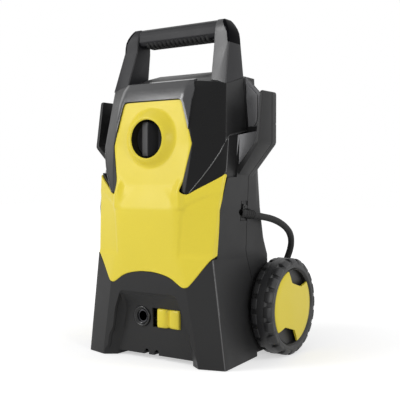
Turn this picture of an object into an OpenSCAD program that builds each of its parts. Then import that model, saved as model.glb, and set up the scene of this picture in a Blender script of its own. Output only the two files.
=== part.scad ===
// Upright electric pressure washer on two wheels: two moulded casing halves around
// a vertical motor and wobble-plate pump, with a pull-out handle and holder arms.
// Millimetres. X runs across, Y from the front to the back, Z up; the origin is on
// the floor, under the middle of the machine's outline.

/* [Casing] */
// Height of the casing at the crest of its roof
body_h = 407; // [339:1:489]
// Width of the casing at its waist
body_w = 203; // [169:1:244]
// Depth of the casing, from its flat front face to its back face
body_d = 191; // [159:1:230]
// Thickness of the casing's walls
wall = 3.2; // [2.6:0.1:3.9]
// Height of the casing's bottom wall above the floor
floor_gap = 6.6; // [5.5:0.1:8]
// How far each front foot flares out past the waist
foot_flare = 19; // [15:0.5:24]
// How far each shoulder stands out past the waist
shoulder_flare = 9.5; // [6:0.5:12]
// Air left between pieces that only lie side by side
gap = 0.3; // [0.25:0.01:0.36]

/* [Front panel and knob] */
// Thickness of the yellow panel
panel_t = 2.4; // [2:0.1:2.9]
// Half the panel's width at its widest point, beside the knob
panel_half = 68.6; // [62:0.2:76]
// How far the console frame stands proud of the casing
hood_rise = 2; // [1:0.1:3]
// Diameter of the hole that the knob sits in
knob_hole_d = 53.6; // [44.6:0.2:64.4]
// Diameter of the foot of the cone around the knob
knob_cone_d = 84; // [76:0.5:92]
// How far the cone stands out of the panel
knob_cone_h = 12.4; // [8:0.2:14]
// Diameter of the knob's stem
stem_d = 8; // [6:0.2:10]
// How far the knob's finger grip stands out of its disc
grip_h = 10; // [8:0.5:12]

/* [Outlet] */
// Sideways place of the pressure outlet
outlet_x = -22.5; // [-27:0.5:-18.5]
// Height of the pressure outlet
outlet_z = 60; // [50:0.5:64]
// Outer diameter of the outlet's collar
collar_d = 29; // [24:0.5:35]
// Bore of the outlet's socket
socket_bore_d = 14.4; // [12:0.2:17]
// Width of the release slider
slider_w = 38.6; // [32:0.2:46]
// Height of the release slider
slider_h = 26.6; // [22:0.2:32]
// Travel of the release slider towards the outlet
slider_travel = 6; // [4:0.5:7]

/* [Handle] */
// How far the handle's bar stands above the casing's roof
handle_rise = 71; // [59:1:86]
// Outer diameter of the handle's tubes
tube_d = 16; // [13:0.1:19.2]
// Wall of the handle's tubes
tube_wall = 1.2; // [1:0.1:2]
// How far the handle pulls out
handle_travel = 150; // [125:5:180]
// Radial play of the tubes in their guides
slide_play = 0.08; // [0.05:0.01:0.1]

/* [Holder arms] */
// How far an arm's plate stands out past the casing's waist
arm_reach = 43.5; // [36:0.5:52.5]
// Thickness of an arm's plate
arm_t = 4.6; // [3.8:0.1:5.6]

/* [Wheels] */
// Diameter of the wheels
wheel_d = 140; // [117:1:168]
// Width of a tyre
tyre_w = 35; // [29:0.5:42]
// Thickness of a tyre's band
tyre_t = 15; // [12.5:0.5:18]
// Distance from the axle to the casing's back face
axle_inset = 33; // [27.5:0.5:40]
// Diameter of the axle
axle_d = 10; // [8:0.5:12]
// Radial play of a wheel on the axle
axle_play = 0.06; // [0.03:0.01:0.1]

/* [Motor and pump] */
// Diameter of the motor's housing
motor_d = 84; // [76:1:100]
// Diameter of the motor's shaft
shaft_d = 12; // [10:0.5:14]
// Diameter of a pump piston
piston_d = 14; // [12:0.5:16]
// Diameter of the circle that the pistons stand on
piston_pcd = 44; // [40:1:48]
// Outer diameter of the water inlet's thread
inlet_d = 26.4; // [22:0.2:31]
// Diameter of the motor's capacitor
capacitor_d = 28; // [24:1:33]

/* [Mains cord] */
// Diameter of the mains cord
cord_d = 10; // [8:0.5:11]
// Diameter of the coil at the middle of its turns
coil_d = 116; // [100:1:120]
// Turns of the coil side by side
coil_wide = 3; // [2:1:3]
// Turns of the coil on each other
coil_high = 4; // [3:1:4]
// Diameter of the plug's face
plug_d = 37; // [33:1:40]

/* [Hidden] */

$fn = 64;
sides = [-1, 1];

half_w = body_w / 2;
foot_half = half_w + foot_flare;
front_y = -113;
back_y = front_y + body_d;
handle_top = body_h + handle_rise;
big = 600;

// ---- heights of the casing's sections, counted from the floor or down from the roof
tip_z = 110;
chin_low_z = body_h - 193;
waist_z = tip_z + (chin_low_z - tip_z) * 17 / 52;
hip_z = tip_z + (chin_low_z - tip_z) * 29 / 52;
notch_z = body_h - 173;
chin_top_z = body_h - 160;
shoulder_z = body_h - 145;
wide_z = body_h - 105;
block_z = body_h - 99;
limb_z = body_h - 72;
brow_z = body_h - 45;
lip_z = body_h - 30;
neck_z = body_h - 19;
levels = [0, tip_z, waist_z, hip_z, chin_low_z, notch_z, chin_top_z, shoulder_z, wide_z,
    block_z, limb_z, brow_z, brow_z + 9, neck_z - 7, neck_z, body_h + 12];

// Places of one corner of the casing's section: how far out it stands, and how far it
// is set back from the front face, at each height where the line bends.
face_half = 48;
face_set = [[0, 6.3], [tip_z, 0.7], [waist_z, 0], [chin_low_z, -2], [chin_top_z, 6.5],
    [shoulder_z, 7.8], [wide_z, 11.5], [brow_z, 14.6], [brow_z + 9, 18.5], [neck_z - 7, 23.5],
    [neck_z, 30], [body_h + 12, 45]];
crease_x = [[0, foot_half - 35.3], [tip_z, 64.2], [waist_z, 59], [chin_low_z, 58],
    [notch_z, 61], [shoulder_z, 64], [wide_z, panel_half + 0.8], [limb_z, panel_half - 6],
    [brow_z, 54], [lip_z, 52.5], [body_h + 12, 51.9]];
crease_set = [[0, 6.3], [tip_z, 0.7], [waist_z, 0], [chin_low_z, -0.5], [notch_z, 2.5],
    [shoulder_z, 6], [wide_z, 12.5], [brow_z, 14.8], [brow_z + 9, 18.7], [neck_z - 7, 23.7],
    [neck_z, 30.2], [body_h + 12, 45.2]];
corner_x = [[0, foot_half], [waist_z, half_w], [chin_low_z, half_w + shoulder_flare * 0.55],
    [shoulder_z, half_w + shoulder_flare], [block_z, half_w + 5.5], [neck_z, half_w - 2.4],
    [body_h + 12, half_w - 4]];
corner_set = [[0, 16.5], [waist_z, 15], [chin_low_z, 23], [shoulder_z, 31], [block_z, 37.5],
    [neck_z, 50.5], [body_h + 12, 54]];
flank_x = [[0, foot_half - 11.9], [waist_z, half_w + 2], [chin_low_z, half_w + 4],
    [shoulder_z, half_w + 5.5], [block_z, half_w + 4.6], [neck_z, half_w - 2.4],
    [body_h + 12, half_w - 4]];
flank_y = 5;
hip_x = [[0, half_w + 5.5], [waist_z, half_w + 3.5], [chin_low_z, half_w + 3.5],
    [shoulder_z, half_w + 2], [block_z, half_w], [neck_z, half_w - 3], [body_h + 12, half_w - 4.5]];
hip_y = [[0, 45], [waist_z, 40], [hip_z, 28], [chin_low_z, 18], [shoulder_z, 15],
    [body_h + 12, 14]];
back_x = [[0, half_w - 15.5], [waist_z, half_w - 21.5], [chin_low_z, half_w - 31.5],
    [shoulder_z, half_w - 37.5], [body_h + 12, half_w - 41.5]];
back_set = [[0, 0], [waist_z, 0.5], [chin_low_z, 5], [shoulder_z, 14], [block_z, 22],
    [body_h + 12, 31]];

function mirrored(half) = concat(half,
    [for (i = [len(half) - 1:-1:0]) [-half[i][0], half[i][1]]]);
function section(z) = mirrored([
    [face_half, front_y + lookup(z, face_set)],
    [lookup(z, crease_x), front_y + lookup(z, crease_set)],
    [lookup(z, corner_x), front_y + lookup(z, corner_set)],
    [lookup(z, flank_x), flank_y],
    [lookup(z, hip_x), lookup(z, hip_y)],
    [lookup(z, back_x), back_y - lookup(z, back_set)]]);

function side_normal(a, b) = let (d = b - a, l = norm(d)) [d[1] / l, -d[0] / l];
// Moves every side of a closed outline outwards by the same distance.
function grown(pts, by) = let (n = len(pts)) [for (i = [0:n - 1]) let (
    m = side_normal(pts[(i + n - 1) % n], pts[i]),
    k = side_normal(pts[i], pts[(i + 1) % n]))
    pts[i] + (m + k) * by / (1 + m * k)];

// Joins rings of points, lowest ring first, into one closed solid.
module skin(rings) {
    n = len(rings[0]);
    last = len(rings) - 1;
    pts = [for (ring = rings) each ring];
    walls = [for (j = [0:last - 1], i = [0:n - 1]) let (
        a = j * n + i, b = j * n + (i + 1) % n, c = a + n, d = b + n)
        each [[a, c, b], [b, c, d]]];
    caps = [[for (i = [0:n - 1]) i], [for (i = [n - 1:-1:0]) last * n + i]];
    polyhedron(points = pts, faces = concat(walls, caps), convexity = 8);
}
module along_y(from, to) translate([0, to, 0]) rotate([90, 0, 0]) linear_extrude(to - from) children();
module along_x(from, to) translate([from, 0, 0]) rotate([90, 0, 90]) linear_extrude(to - from) children();
module bar_y(d, from, to) translate([0, from, 0]) rotate([-90, 0, 0]) cylinder(d = d, h = to - from);
module bar_x(d, from, to) translate([from, 0, 0]) rotate([0, 90, 0]) cylinder(d = d, h = to - from);
module flip(s) if (s > 0) children(); else mirror([1, 0, 0]) children();
module both_sides() for (s = sides) flip(s) children();

// ---- casing form
roof_crest_y = -12;
roof_back_y = 14;
roof_slope = 0.268;
roof_back_slope = 0.25;
roof_falls = [[0, 0], [60, 0], [84, 4.6], [half_w + 20, 16.5]];
roof_edges = [for (s = sides, i = [0:2]) [s * roof_falls[i][0], s * roof_falls[i + 1][0]]];
function roof_z(x, y) = body_h - max(0, roof_crest_y - y) * roof_slope
    - max(0, y - roof_back_y) * roof_back_slope - lookup(abs(x), roof_falls);

roof_rows = [front_y - 20, roof_crest_y, roof_back_y, back_y + 20];
// Everything below the roof, lowered by drop: one convex strip after another, side to side.
module roof_space(drop) for (strip = roof_edges) hull() polyhedron(
    points = [for (x = strip, y = roof_rows, top = [0, 1])
        [x, y, top == 1 ? roof_z(x, y) - drop : -30]],
    faces = [[0, 1, 2], [3, 4, 5], [6, 7, 8], [9, 10, 11], [12, 13, 14], [15, 0, 1]]);
// The casing's outer form, moved inwards by depth on every side but the bottom.
module form(depth, bottom = 0) intersection() {
    skin([for (z = levels) [for (p = grown(section(max(z, 0)), -depth))
        [p[0], p[1], z == 0 ? bottom : z]]]);
    roof_space(depth);
}

// ---- parting line between the two casing halves
parting_y = -18;
module behind_parting(shift) along_x(-big, big) polygon([
    [parting_y + shift, big], [parting_y + shift, 154], [-2.5 + shift, tip_z], [13.5 + shift, 3],
    [13.5 + shift, -20], [big, -20], [big, big]]);

// ---- yellow panel's outline, seen from the front
wing_low_z = waist_z + 8;
point_x = 63.9;
module panel_outline() {
    half = [[45, brow_z + 1.2], [49.2, brow_z - 0.5], [51.6, brow_z - 4.5],
        [panel_half, wide_z], [panel_half - 12.4, notch_z + 8], [panel_half - 11.4, notch_z + 3],
        [panel_half - 2.6, notch_z], [half_w + 9.5, shoulder_z + 0.5], [half_w + 40, shoulder_z + 14],
        [half_w + 40, wing_low_z + 9], [half_w + 2, wing_low_z - 3], [half_w - 8, waist_z - 3.5],
        [point_x + 5, tip_z - 0.5], [point_x, tip_z - 2.5], [point_x - 5, tip_z - 1.5],
        [53, tip_z + 2.5], [42, tip_z + 9], [28.4, tip_z + 13.5], [10, tip_z + 16]];
    polygon(mirrored(half));
}
module hood_outline() polygon(mirrored([[51.5, body_h], [63.3, lip_z + 1], [63.7, limb_z + 1],
    [63, wide_z + 18]]));
// Where the panel wraps round the corners and stops on the sides.
module panel_reach(more) along_x(-big, big) polygon([
    [-big, 60], [-89.5 + more, 60], [-89.5 + more, wing_low_z], [-88.5 + more, chin_low_z - 1],
    [-76.5 + more, shoulder_z + 2 + more], [-70 + more, shoulder_z + 8], [-70 + more, big], [-big, big]]);
module panel_zone(more) intersection() {
    along_y(-big, 0) offset(delta = more) panel_outline();
    panel_reach(more);
}
module cover_zone(more) intersection() {
    along_y(-big, 0) offset(delta = more) union() {
        panel_outline();
        hood_outline();
    }
    panel_reach(more);
}
pocket = panel_t + gap;
seat_y = -96;
seat_t = 3.4;
knob_z = body_h - 97.5;
cone_foot_y = -100.4;

// ---- recess low in the front, around the outlet
recess_y = -93.5;
recess_in = foot_half - 54.5;
module front_recess() skin([for (s = [[-1, 0, 0, 19.5], [76, -1, 15, 12], [88, -5.5, 19, 11],
        [97, -12.5, 24, 9], [103, -20, 30, 7]]) let (
    y = recess_y + s[1], w = recess_in - s[2], out = front_y - 12)
    [for (p = [[w + s[3] * (y - out) / 14, out], [w, y], [-w, y], [-w - s[3] * (y - out) / 14, out]])
        [p[0], p[1], s[0]]]]);
module foot_space() difference() {
    translate([-big, -big, -20]) cube([2 * big, 2 * big, 20 + floor_gap]);
    for (s = sides) translate([s * (recess_in + big / 2 + 1), -big / 2 + flank_y, 0])
        cube([big, big, 60], center = true);
}

// ---- holder arms on the casing's sides
arm_x = half_w + arm_reach;
arm_top_z = body_h - 33;
arm_bend_z = body_h - 104;
arm_foot_z = body_h - 156;
arm_front_y = -54.5;
arm_back_y = -7.5;
module arm_slab() {
    intersection() {
        along_y(arm_front_y, arm_back_y) polygon([[arm_x, arm_top_z], [arm_x, arm_bend_z],
            [half_w, arm_foot_z], [half_w - 6, arm_foot_z], [half_w - 6, arm_foot_z + 4],
            [arm_x - arm_t, arm_bend_z + 2], [arm_x - arm_t, arm_top_z]]);
        along_x(0, big) polygon([[arm_front_y + 13, arm_top_z + 9], [arm_front_y, arm_bend_z],
            [arm_front_y + 10, arm_foot_z - 9], [arm_back_y + 1, arm_foot_z - 9],
            [arm_back_y + 1, arm_top_z + 9]]);
    }
    // web behind the pocket, with its slanted top edge and rounded foot
    along_y(arm_back_y - arm_t, arm_back_y) polygon([[half_w - 6, body_h - 9], [half_w - 2, body_h - 9],
        [half_w + 18, body_h - 32], [arm_x - 1, body_h - 55], [arm_x - 1, arm_bend_z - 2],
        [half_w - 6, arm_foot_z + 8]]);
    // floor of the pocket, sloping down to the front
    intersection() {
        along_x(half_w - 6, arm_x - 1) polygon([[arm_back_y - 1, arm_bend_z + 22],
            [arm_back_y - 5, arm_bend_z + 22], [arm_front_y + 8, arm_foot_z + 8],
            [arm_front_y + 8, arm_foot_z + 2], [arm_back_y - 1, arm_foot_z + 4]]);
        along_y(-big, big) polygon([[half_w - 6, arm_foot_z + 1], [half_w - 4, arm_foot_z + 1],
            [arm_x - 1, arm_bend_z], [arm_x - 1, big], [half_w - 6, big]]);
    }
}

// ---- handle tubes, with a plug at the foot of each that slides in the guide's wide bore
guide_wall = 3.4;
guide_d = tube_d + 2 * guide_wall;
guide_inset = 9;
tube_x = half_w - guide_inset - guide_d / 2;
tube_y = -32;
tube_top_z = handle_top - 34;
plug_play = 0.3;
plug_rim = 1.7;
plug_h = 12;
guide_low_z = waist_z + 40;
guide_top_z = roof_z(tube_x + guide_d / 2, tube_y - guide_d / 2) - 1;
tube_low_z = guide_low_z + plug_h + 2;

// ---- cord slot in the right side
slot_y = [-36, -17.6];
slot_z = [body_h - 211, body_h - 183];
relief_in = [half_w - 2.1, -37, body_h - 198];
relief_out = [half_w + 7.5, -8, body_h - 202.7];
relief_len = norm(relief_out - relief_in);
module along_relief() {
    d = relief_out - relief_in;
    translate(relief_in) rotate([0, acos(d[2] / norm(d)), atan2(d[1], d[0])]) children();
}
module relief_channel() along_relief() translate([0, 0, -4])
    cylinder(d1 = cord_d + 5, d2 = cord_d + 4, h = relief_len + 12);

// ---- axle and wheels
axle_y = back_y - axle_inset;
axle_z = wheel_d / 2;
wheel_in_x = foot_half - 11.9 + 3.4;
wheel_out_x = wheel_in_x + tyre_w;
cover_d = wheel_d - 2 * tyre_t - 3;
boss_out_x = wheel_in_x - 0.6;

// ---- screws that hold the casing halves together: [x, z, parting line's y there]
guide_in_x = tube_x - guide_d / 2;
screw_spots = [[half_w - 21, 30, 8], [guide_in_x - 9.7, waist_z + 41, parting_y],
    [50, body_h - 62, parting_y]];
screw_d = 4;
screw_head_d = 8;
screw_grip = 12;
head_seat = 8;
tower_d = 14;
tower_fn = 24;
module at_screws() for (s = sides, k = screw_spots) translate([s * k[0], k[2], k[1]]) children();

module casing() difference() {
    union() {
        form(0, 0.6);
        both_sides() arm_slab();
    }
    form(wall, floor_gap + wall);
    front_recess();
    foot_space();
}

module rounded_slot_y(w, low, high, from, to) hull() for (z = [low + w / 2, high - w / 2])
    translate([0, 0, z]) bar_y(w, from, to, $fn = 16);

module front_shell() color([0.19, 0.19, 0.20]) difference() {
    union() {
        difference() {
            casing();
            behind_parting(0);
            difference() {
                cover_zone(gap);
                form(pocket);
            }
        }
        // wall behind the panel and the console frame
        intersection() {
            difference() {
                form(pocket);
                form(pocket + wall, floor_gap + wall);
            }
            cover_zone(gap + 3);
        }
        // wall behind the outlet's recess
        difference() {
            intersection() {
                translate([0, wall, 0]) front_recess();
                form(wall + 0.5, floor_gap);
            }
            front_recess();
        }
        // screw towers, from the front wall to the parting line
        difference() {
            intersection() {
                at_screws() bar_y(tower_d, front_y, 0, $fn = tower_fn);
                form(pocket + 0.5, floor_gap + 0.4);
            }
            behind_parting(0);
        }
        // cup behind the knob
        intersection() {
            translate([0, 0, knob_z]) bar_y(knob_hole_d + 9, seat_y - 4, seat_y + seat_t);
            form(pocket);
        }
        translate([spring_end_x + gap, recess_y - 8, outlet_z - 5]) cube([wall, 22, 10]);
    }
    translate([0, 0, knob_z]) bar_y(knob_hole_d + 1.6, front_y, seat_y);
    translate([0, 0, knob_z]) bar_y(stem_d + 3, front_y, 0);
    at_screws() bar_y(screw_d + 0.1, -screw_grip - 2, 2, $fn = tower_fn);
    // outlet, slider window and the two notches under them
    translate([outlet_x, 0, outlet_z]) bar_y(collar_d + 2 * gap, front_y, -70);
    translate([slider_x - slider_travel - 4, front_y, outlet_z - slider_h / 2 - gap])
        cube([slider_w + slider_travel + 4 + gap, 40, slider_h + 2 * gap]);
    for (x = [outlet_x + 7.5, outlet_x + 25]) translate([x, 0, 0])
        rounded_slot_y(8.4, -9, 14, front_y, -60);
    for (s = sides) translate([s * tube_x, tube_y, body_h - 40])
        cylinder(d = guide_d + 2 * gap, h = 60);
    translate([half_w - 10, slot_y[0], slot_z[0]]) cube([30, 40, slot_z[1] - slot_z[0]]);
    relief_channel();
    foot_pad_pockets(gap);
}

vent_rows = 8;
module rear_shell() color([0.17, 0.17, 0.18]) difference() {
    union() {
        intersection() {
            casing();
            behind_parting(gap);
        }
        both_sides() translate([0, axle_y, axle_z]) bar_x(30, half_w - 2, boss_out_x);
        intersection() {
            union() {
                at_screws() bar_y(tower_d, gap, 2 * back_y, $fn = tower_fn);
                // cradle for the capacitor, and ears that carry the axle inside
                translate(capacitor_at + [-12, 0, 12]) cube([24, 40, 14]);
                both_sides() translate([half_w - 34, axle_y - 8, floor_gap])
                    cube([wall, 16, axle_z]);
            }
            form(0.4, floor_gap + 0.4);
            behind_parting(gap);
        }
    }
    translate([0, axle_y, axle_z]) bar_x(axle_d + 0.1, -big, big);
    translate(capacitor_at) cylinder(d = capacitor_d + 2 * gap, h = 60);
    at_screws() {
        bar_y(screw_head_d + 2, head_seat, big, $fn = tower_fn);
        bar_y(screw_d + 0.6, -4, big, $fn = tower_fn);
    }
    // cooling vents across the back
    for (i = [0:vent_rows - 1]) translate([0, 0, chin_low_z + 4 + i * 10]) hull() for (s = sides)
        translate([s * 36, back_y - 40, 0]) rotate([-90, 0, 0]) cylinder(d = 4.6, h = 60, $fn = 12);
    translate([inlet_x, 0, inlet_z]) bar_y(inlet_neck_d + 2 * gap, 40, big);
    relief_channel();
}

// ---- panel, console frame and knob
module knob_cone(back, shrink) rotate_extrude($fn = 96) polygon([[0, -back],
    [knob_cone_d / 2 + back * cone_slope - shrink, -back],
    [knob_hole_d / 2 + 1.8 - shrink, knob_cone_h + 0.8], [0, knob_cone_h + 0.8]]);
cone_slope = (knob_cone_d / 2 - knob_hole_d / 2 - 1.8) / (knob_cone_h + 0.8);

module front_panel() color([0.90, 0.83, 0.26]) difference() {
    union() {
        intersection() {
            difference() {
                form(0);
                form(panel_t);
            }
            panel_zone(0);
        }
        difference() {
            translate([0, cone_foot_y, knob_z]) rotate([90, 0, 0]) knob_cone(5, 0);
            form(panel_t);
        }
    }
    difference() {
        translate([0, cone_foot_y, knob_z]) rotate([90, 0, 0]) knob_cone(9, 3.4);
        translate([0, 0, knob_z]) bar_y(knob_hole_d + 4.6, front_y - 20, 0);
    }
    translate([0, 0, knob_z]) bar_y(knob_hole_d, front_y - 20, 0);
}
module console_hood() color([0.30, 0.30, 0.32]) intersection() {
    difference() {
        form(-hood_rise);
        form(panel_t);
    }
    difference() {
        along_y(-big, front_y + 40) hood_outline();
        along_y(-big, 0) offset(delta = gap) panel_outline();
    }
}
module control_knob() color([0.12, 0.12, 0.13]) translate([0, 0, knob_z]) {
    disc_d = knob_hole_d - 1.8;
    bar_y(disc_d, seat_y - gap - 5, seat_y - gap);
    intersection() {
        bar_y(disc_d, seat_y - 5 - grip_h, seat_y - 4);
        linear_extrude(disc_d, center = true) polygon([[-11, seat_y - 4], [-8.5, seat_y - 9],
            [-1.4, seat_y - 4.6 - grip_h], [1.4, seat_y - 4.6 - grip_h], [8.5, seat_y - 9],
            [11, seat_y - 4]]);
    }
    bar_y(stem_d, seat_y - gap - 1, seat_y + 17);
}
module switch_body() color([0.25, 0.25, 0.28]) difference() {
    translate([-18, seat_y + seat_t + gap, knob_z - 20]) cube([36, 26, 40]);
    translate([0, 0, knob_z]) bar_y(stem_d + 0.1, -big, seat_y + 18);
}

// ---- outlet and release slider, both kept behind the recess's wall by a flange
recess_back_y = recess_y + wall;
slider_x = outlet_x + collar_d / 2 + 14;
tab_x = slider_x + slider_w + 3;
spring_len = 14;
spring_end_x = tab_x + 2 * gap + spring_len;
spring_y = recess_back_y + 6.6;
module outlet_collar() color([0.10, 0.10, 0.11]) translate([outlet_x, 0, outlet_z]) difference() {
    union() {
        bar_y(collar_d, recess_y - 3, recess_back_y + 2);
        bar_y(collar_d + 5, recess_back_y + gap, recess_back_y + 3.3);
    }
    bar_y(socket_bore_d + 6, recess_y - 4, recess_y + 1);
    bar_y(socket_bore_d + 4.1, recess_y - 4, recess_y + 20);
}
module outlet_socket() color([0.75, 0.63, 0.35]) translate([outlet_x, 0, outlet_z]) difference() {
    bar_y(socket_bore_d + 4, recess_y + 1.4, pump_front_y - gap);
    bar_y(socket_bore_d, recess_y, pump_front_y - 4);
}
module release_slider() color([0.90, 0.83, 0.26]) {
    front = recess_y - 3.6;
    translate([slider_x, 0, outlet_z - slider_h / 2]) linear_extrude(slider_h) polygon([
        [0, recess_back_y + 1], [0, front + 1.2], [4, front - 0.4], [slider_w * 0.36, front - 0.8],
        [slider_w * 0.6, front + 0.6], [slider_w * 0.68, front + 2.2], [slider_w - 1, front + 1],
        [slider_w, front + 2], [slider_w, recess_back_y + 1]]);
    translate([slider_x - 2, recess_back_y + gap, outlet_z - slider_h / 2 - 3])
        cube([slider_w + 5, 3, slider_h + 6]);
    translate([tab_x - 3, recess_back_y + 1, outlet_z - 5]) cube([3, 9.6, 10]);
}
module release_spring() color([0.7, 0.7, 0.72])
    translate([tab_x + gap + 0.8, spring_y, outlet_z]) rotate([0, 90, 0])
        coil_spring(2.6, 0.8, spring_len - 1.6, 5);

// ---- handle
// One upright's sections: height; how far the front corner, the side, the rear corner, the
// rear's inner corner, the inner side and the front's inner corner stand out past the waist;
// then the Y places of the front, of the side's rear edge and of the back.
upright_rows = [
    [body_h - 30, -1, -1.6, -9, -21.5, -28, -26.5, -67, -16, -9],
    [handle_top - 34, -8.1, -8.7, -15.5, -25.5, -32.5, -33.1, -46.8, -15.5, -9.4],
    [handle_top - 18, -9.9, -10.7, -17.5, -27.5, -35.5, -35.5, -43.6, -16, -9.8],
    [handle_top - 8, -14, -14.7, -21.5, -33.5, -43.5, -43.5, -41.2, -17.5, -11],
    [handle_top, -20.3, -20.5, -25.5, -39.5, -49.5, -49.5, -38.2, -22, -17]];
module upright() skin([for (r = upright_rows)
    [for (p = [[r[6], r[7]], [r[1], r[7]], [r[2], r[8]], [r[3], r[9]], [r[4], r[9]], [r[5], r[8]]])
        [half_w + p[0], p[1], r[0]]]]);
bar_half = half_w - 20;
grip_half = half_w - 40;
grip_z = handle_top - 21;
module bar_profile() polygon([[-38.2, handle_top], [-41.6, handle_top - 5], [-44.6, handle_top - 12],
    [-46.4, handle_top - 20], [-41.5, handle_top - 26.6], [-35, handle_top - 29.2],
    [-25, handle_top - 29.6], [-17, handle_top - 27.5], [-11, handle_top - 21], [-9.8, handle_top - 12],
    [-12, handle_top - 5], [-17, handle_top]]);
module handle_solid() {
    both_sides() upright();
    along_x(-bar_half, bar_half) bar_profile();
}
module cap_zone(more) along_y(-big, big) offset(delta = more) polygon([
    [half_w + 30, handle_top - 34.5], [half_w - 10.5, handle_top - 34.5],
    [half_w - 12.5, handle_top - 20], [half_w - 22, handle_top - 4],
    [half_w - 22, handle_top + 30], [half_w + 30, handle_top + 30]]);
module grip_zone(more) translate([-grip_half - more, -60, body_h + 20])
    cube([2 * (grip_half + more), 60, grip_z - body_h - 20 + more]);

module handle_frame() color([0.27, 0.27, 0.28]) difference() {
    handle_solid();
    roof_space(-gap - 0.1);
    both_sides() cap_zone(gap);
    grip_zone(gap);
    for (s = sides) translate([s * tube_x, tube_y, body_h - 60])
        cylinder(d = tube_d + 0.1, h = tube_top_z + gap - body_h + 60);
}
module handle_grip() color([0.10, 0.10, 0.11]) difference() {
    intersection() {
        along_x(-grip_half, grip_half) bar_profile();
        translate([-big, -60, body_h + 10]) cube([2 * big, 60, grip_z - body_h - 10]);
    }
    for (i = [-7:7]) translate([i * 7.6 - 1, -60, handle_top - 34]) cube([2, 60, 6.4]);
}
module handle_cap(s) color([0.05, 0.05, 0.06]) flip(s) intersection() {
    union() {
        upright();
        along_x(0, bar_half) bar_profile();
    }
    cap_zone(0);
}
module handle_tube(s) color([0.78, 0.79, 0.80])
    translate([s * tube_x, tube_y, tube_low_z]) difference() {
        cylinder(d = tube_d, h = tube_top_z - tube_low_z);
        translate([0, 0, -1]) cylinder(d = tube_d - 2 * tube_wall, h = tube_top_z - tube_low_z + 2);
    }
module tube_plug(s) color([0.15, 0.15, 0.16]) translate([s * tube_x, tube_y, tube_low_z]) {
    translate([0, 0, -plug_h]) cylinder(d = tube_d + 2 * plug_rim, h = plug_h - gap);
    translate([0, 0, -1]) cylinder(d = tube_d - 2 * tube_wall - 0.1, h = 12);
}
module tube_guide(s) color([0.15, 0.15, 0.16]) translate([s * tube_x, tube_y, 0]) difference() {
    translate([0, 0, guide_low_z]) cylinder(d = guide_d, h = guide_top_z - guide_low_z);
    cylinder(d = tube_d + 2 * slide_play, h = big);
    cylinder(d = tube_d + 2 * plug_rim + 2 * plug_play, h = tube_low_z + handle_travel + 1);
}

// ---- wheels
lugs = 20;
module tyre(s) color([0.16, 0.16, 0.17]) flip(s) translate([0, axle_y, axle_z]) difference() {
    rotate([0, 90, 0]) rotate_extrude($fn = 96) polygon([[wheel_d / 2 - tyre_t, wheel_in_x],
        [wheel_d / 2 - 4, wheel_in_x], [wheel_d / 2, wheel_in_x + 4], [wheel_d / 2, wheel_out_x - 4],
        [wheel_d / 2 - 3, wheel_out_x], [wheel_d / 2 - tyre_t + 2, wheel_out_x],
        [wheel_d / 2 - tyre_t, wheel_out_x - 3]]);
    for (i = [0:lugs - 1]) rotate([(i + 0.5) * 360 / lugs, 0, 0]) {
        translate([wheel_out_x - 6, -3, wheel_d / 2 - 3.2]) cube([12, 6, 8]);
        rotate([180 / lugs, 0, 0]) translate([wheel_in_x - 6, -3, wheel_d / 2 - 3.2]) cube([12, 6, 8]);
    }
}
module wheel_rim(s) color([0.10, 0.10, 0.11]) flip(s) translate([0, axle_y, axle_z]) {
    r = wheel_d / 2 - tyre_t - 0.1;
    rotate([0, 90, 0]) rotate_extrude($fn = 96) polygon([[axle_d / 2 + axle_play, wheel_in_x + 1],
        [14, wheel_in_x + 1], [14, wheel_out_x - 14], [r - 3, wheel_out_x - 14], [r - 3, wheel_in_x + 1.5],
        [r, wheel_in_x + 1.5], [r, wheel_out_x - 3.5], [r - 1, wheel_out_x - 3.5],
        [r - 1, wheel_out_x - 10], [axle_d / 2 + axle_play, wheel_out_x - 10]]);
}
module wheel_cover(s) color([0.90, 0.83, 0.26]) flip(s)
    translate([wheel_out_x - 9.7, axle_y, axle_z]) difference() {
        bar_x(cover_d, 5, 8);
        for (a = [0, 180]) rotate([a, 0, 0]) along_x(-5, 20) cover_cut();
        bar_x(axle_d + 12, -1, 5.6);
    }
module cover_cut() polygon([[-13.5, cover_d / 2], [-4, cover_d / 2 - 19], [24, cover_d / 2 - 27],
    [cover_d / 2 - 6, cover_d / 2 - 20.5], [cover_d / 2 + 4, cover_d / 2 + 4], [-13.5, cover_d / 2 + 4]]);
module axle() color([0.72, 0.73, 0.75]) translate([0, axle_y, axle_z])
    bar_x(axle_d, -wheel_out_x + 6.5, wheel_out_x - 6.5);
module axle_nuts() color([0.6, 0.6, 0.62]) for (s = sides) flip(s)
    translate([0, axle_y, axle_z]) difference() {
        bar_x(axle_d + 7, wheel_out_x - 9.7, wheel_out_x - 6);
        bar_x(axle_d + 0.1, wheel_out_x - 12, wheel_out_x - 6.5);
    }

// ---- feet and screws
module foot_pad_pockets(more) for (s = sides) translate([s * (foot_half - 21), -55, 0])
    cube([20 + 2 * more, 70 + 2 * more, 8 + 2 * more], center = true);
module foot_pads() color([0.08, 0.08, 0.08]) for (s = sides) translate([s * (foot_half - 21), -55, 2])
    cube([20, 70, 4], center = true);
module casing_screws() color([0.55, 0.55, 0.57]) at_screws() {
    bar_y(screw_head_d, head_seat + gap, head_seat + 3.5, $fn = tower_fn);
    bar_y(screw_d, -screw_grip, head_seat + 2, $fn = tower_fn);
}

// ---- motor and pump, on one upright axis
motor_y = (front_y + back_y) / 2 + 2.5;
pump_top_z = 78;
pump_low_z = 34;
pump_front_y = motor_y - 35;
pump_back_y = motor_y + 35;
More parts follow.
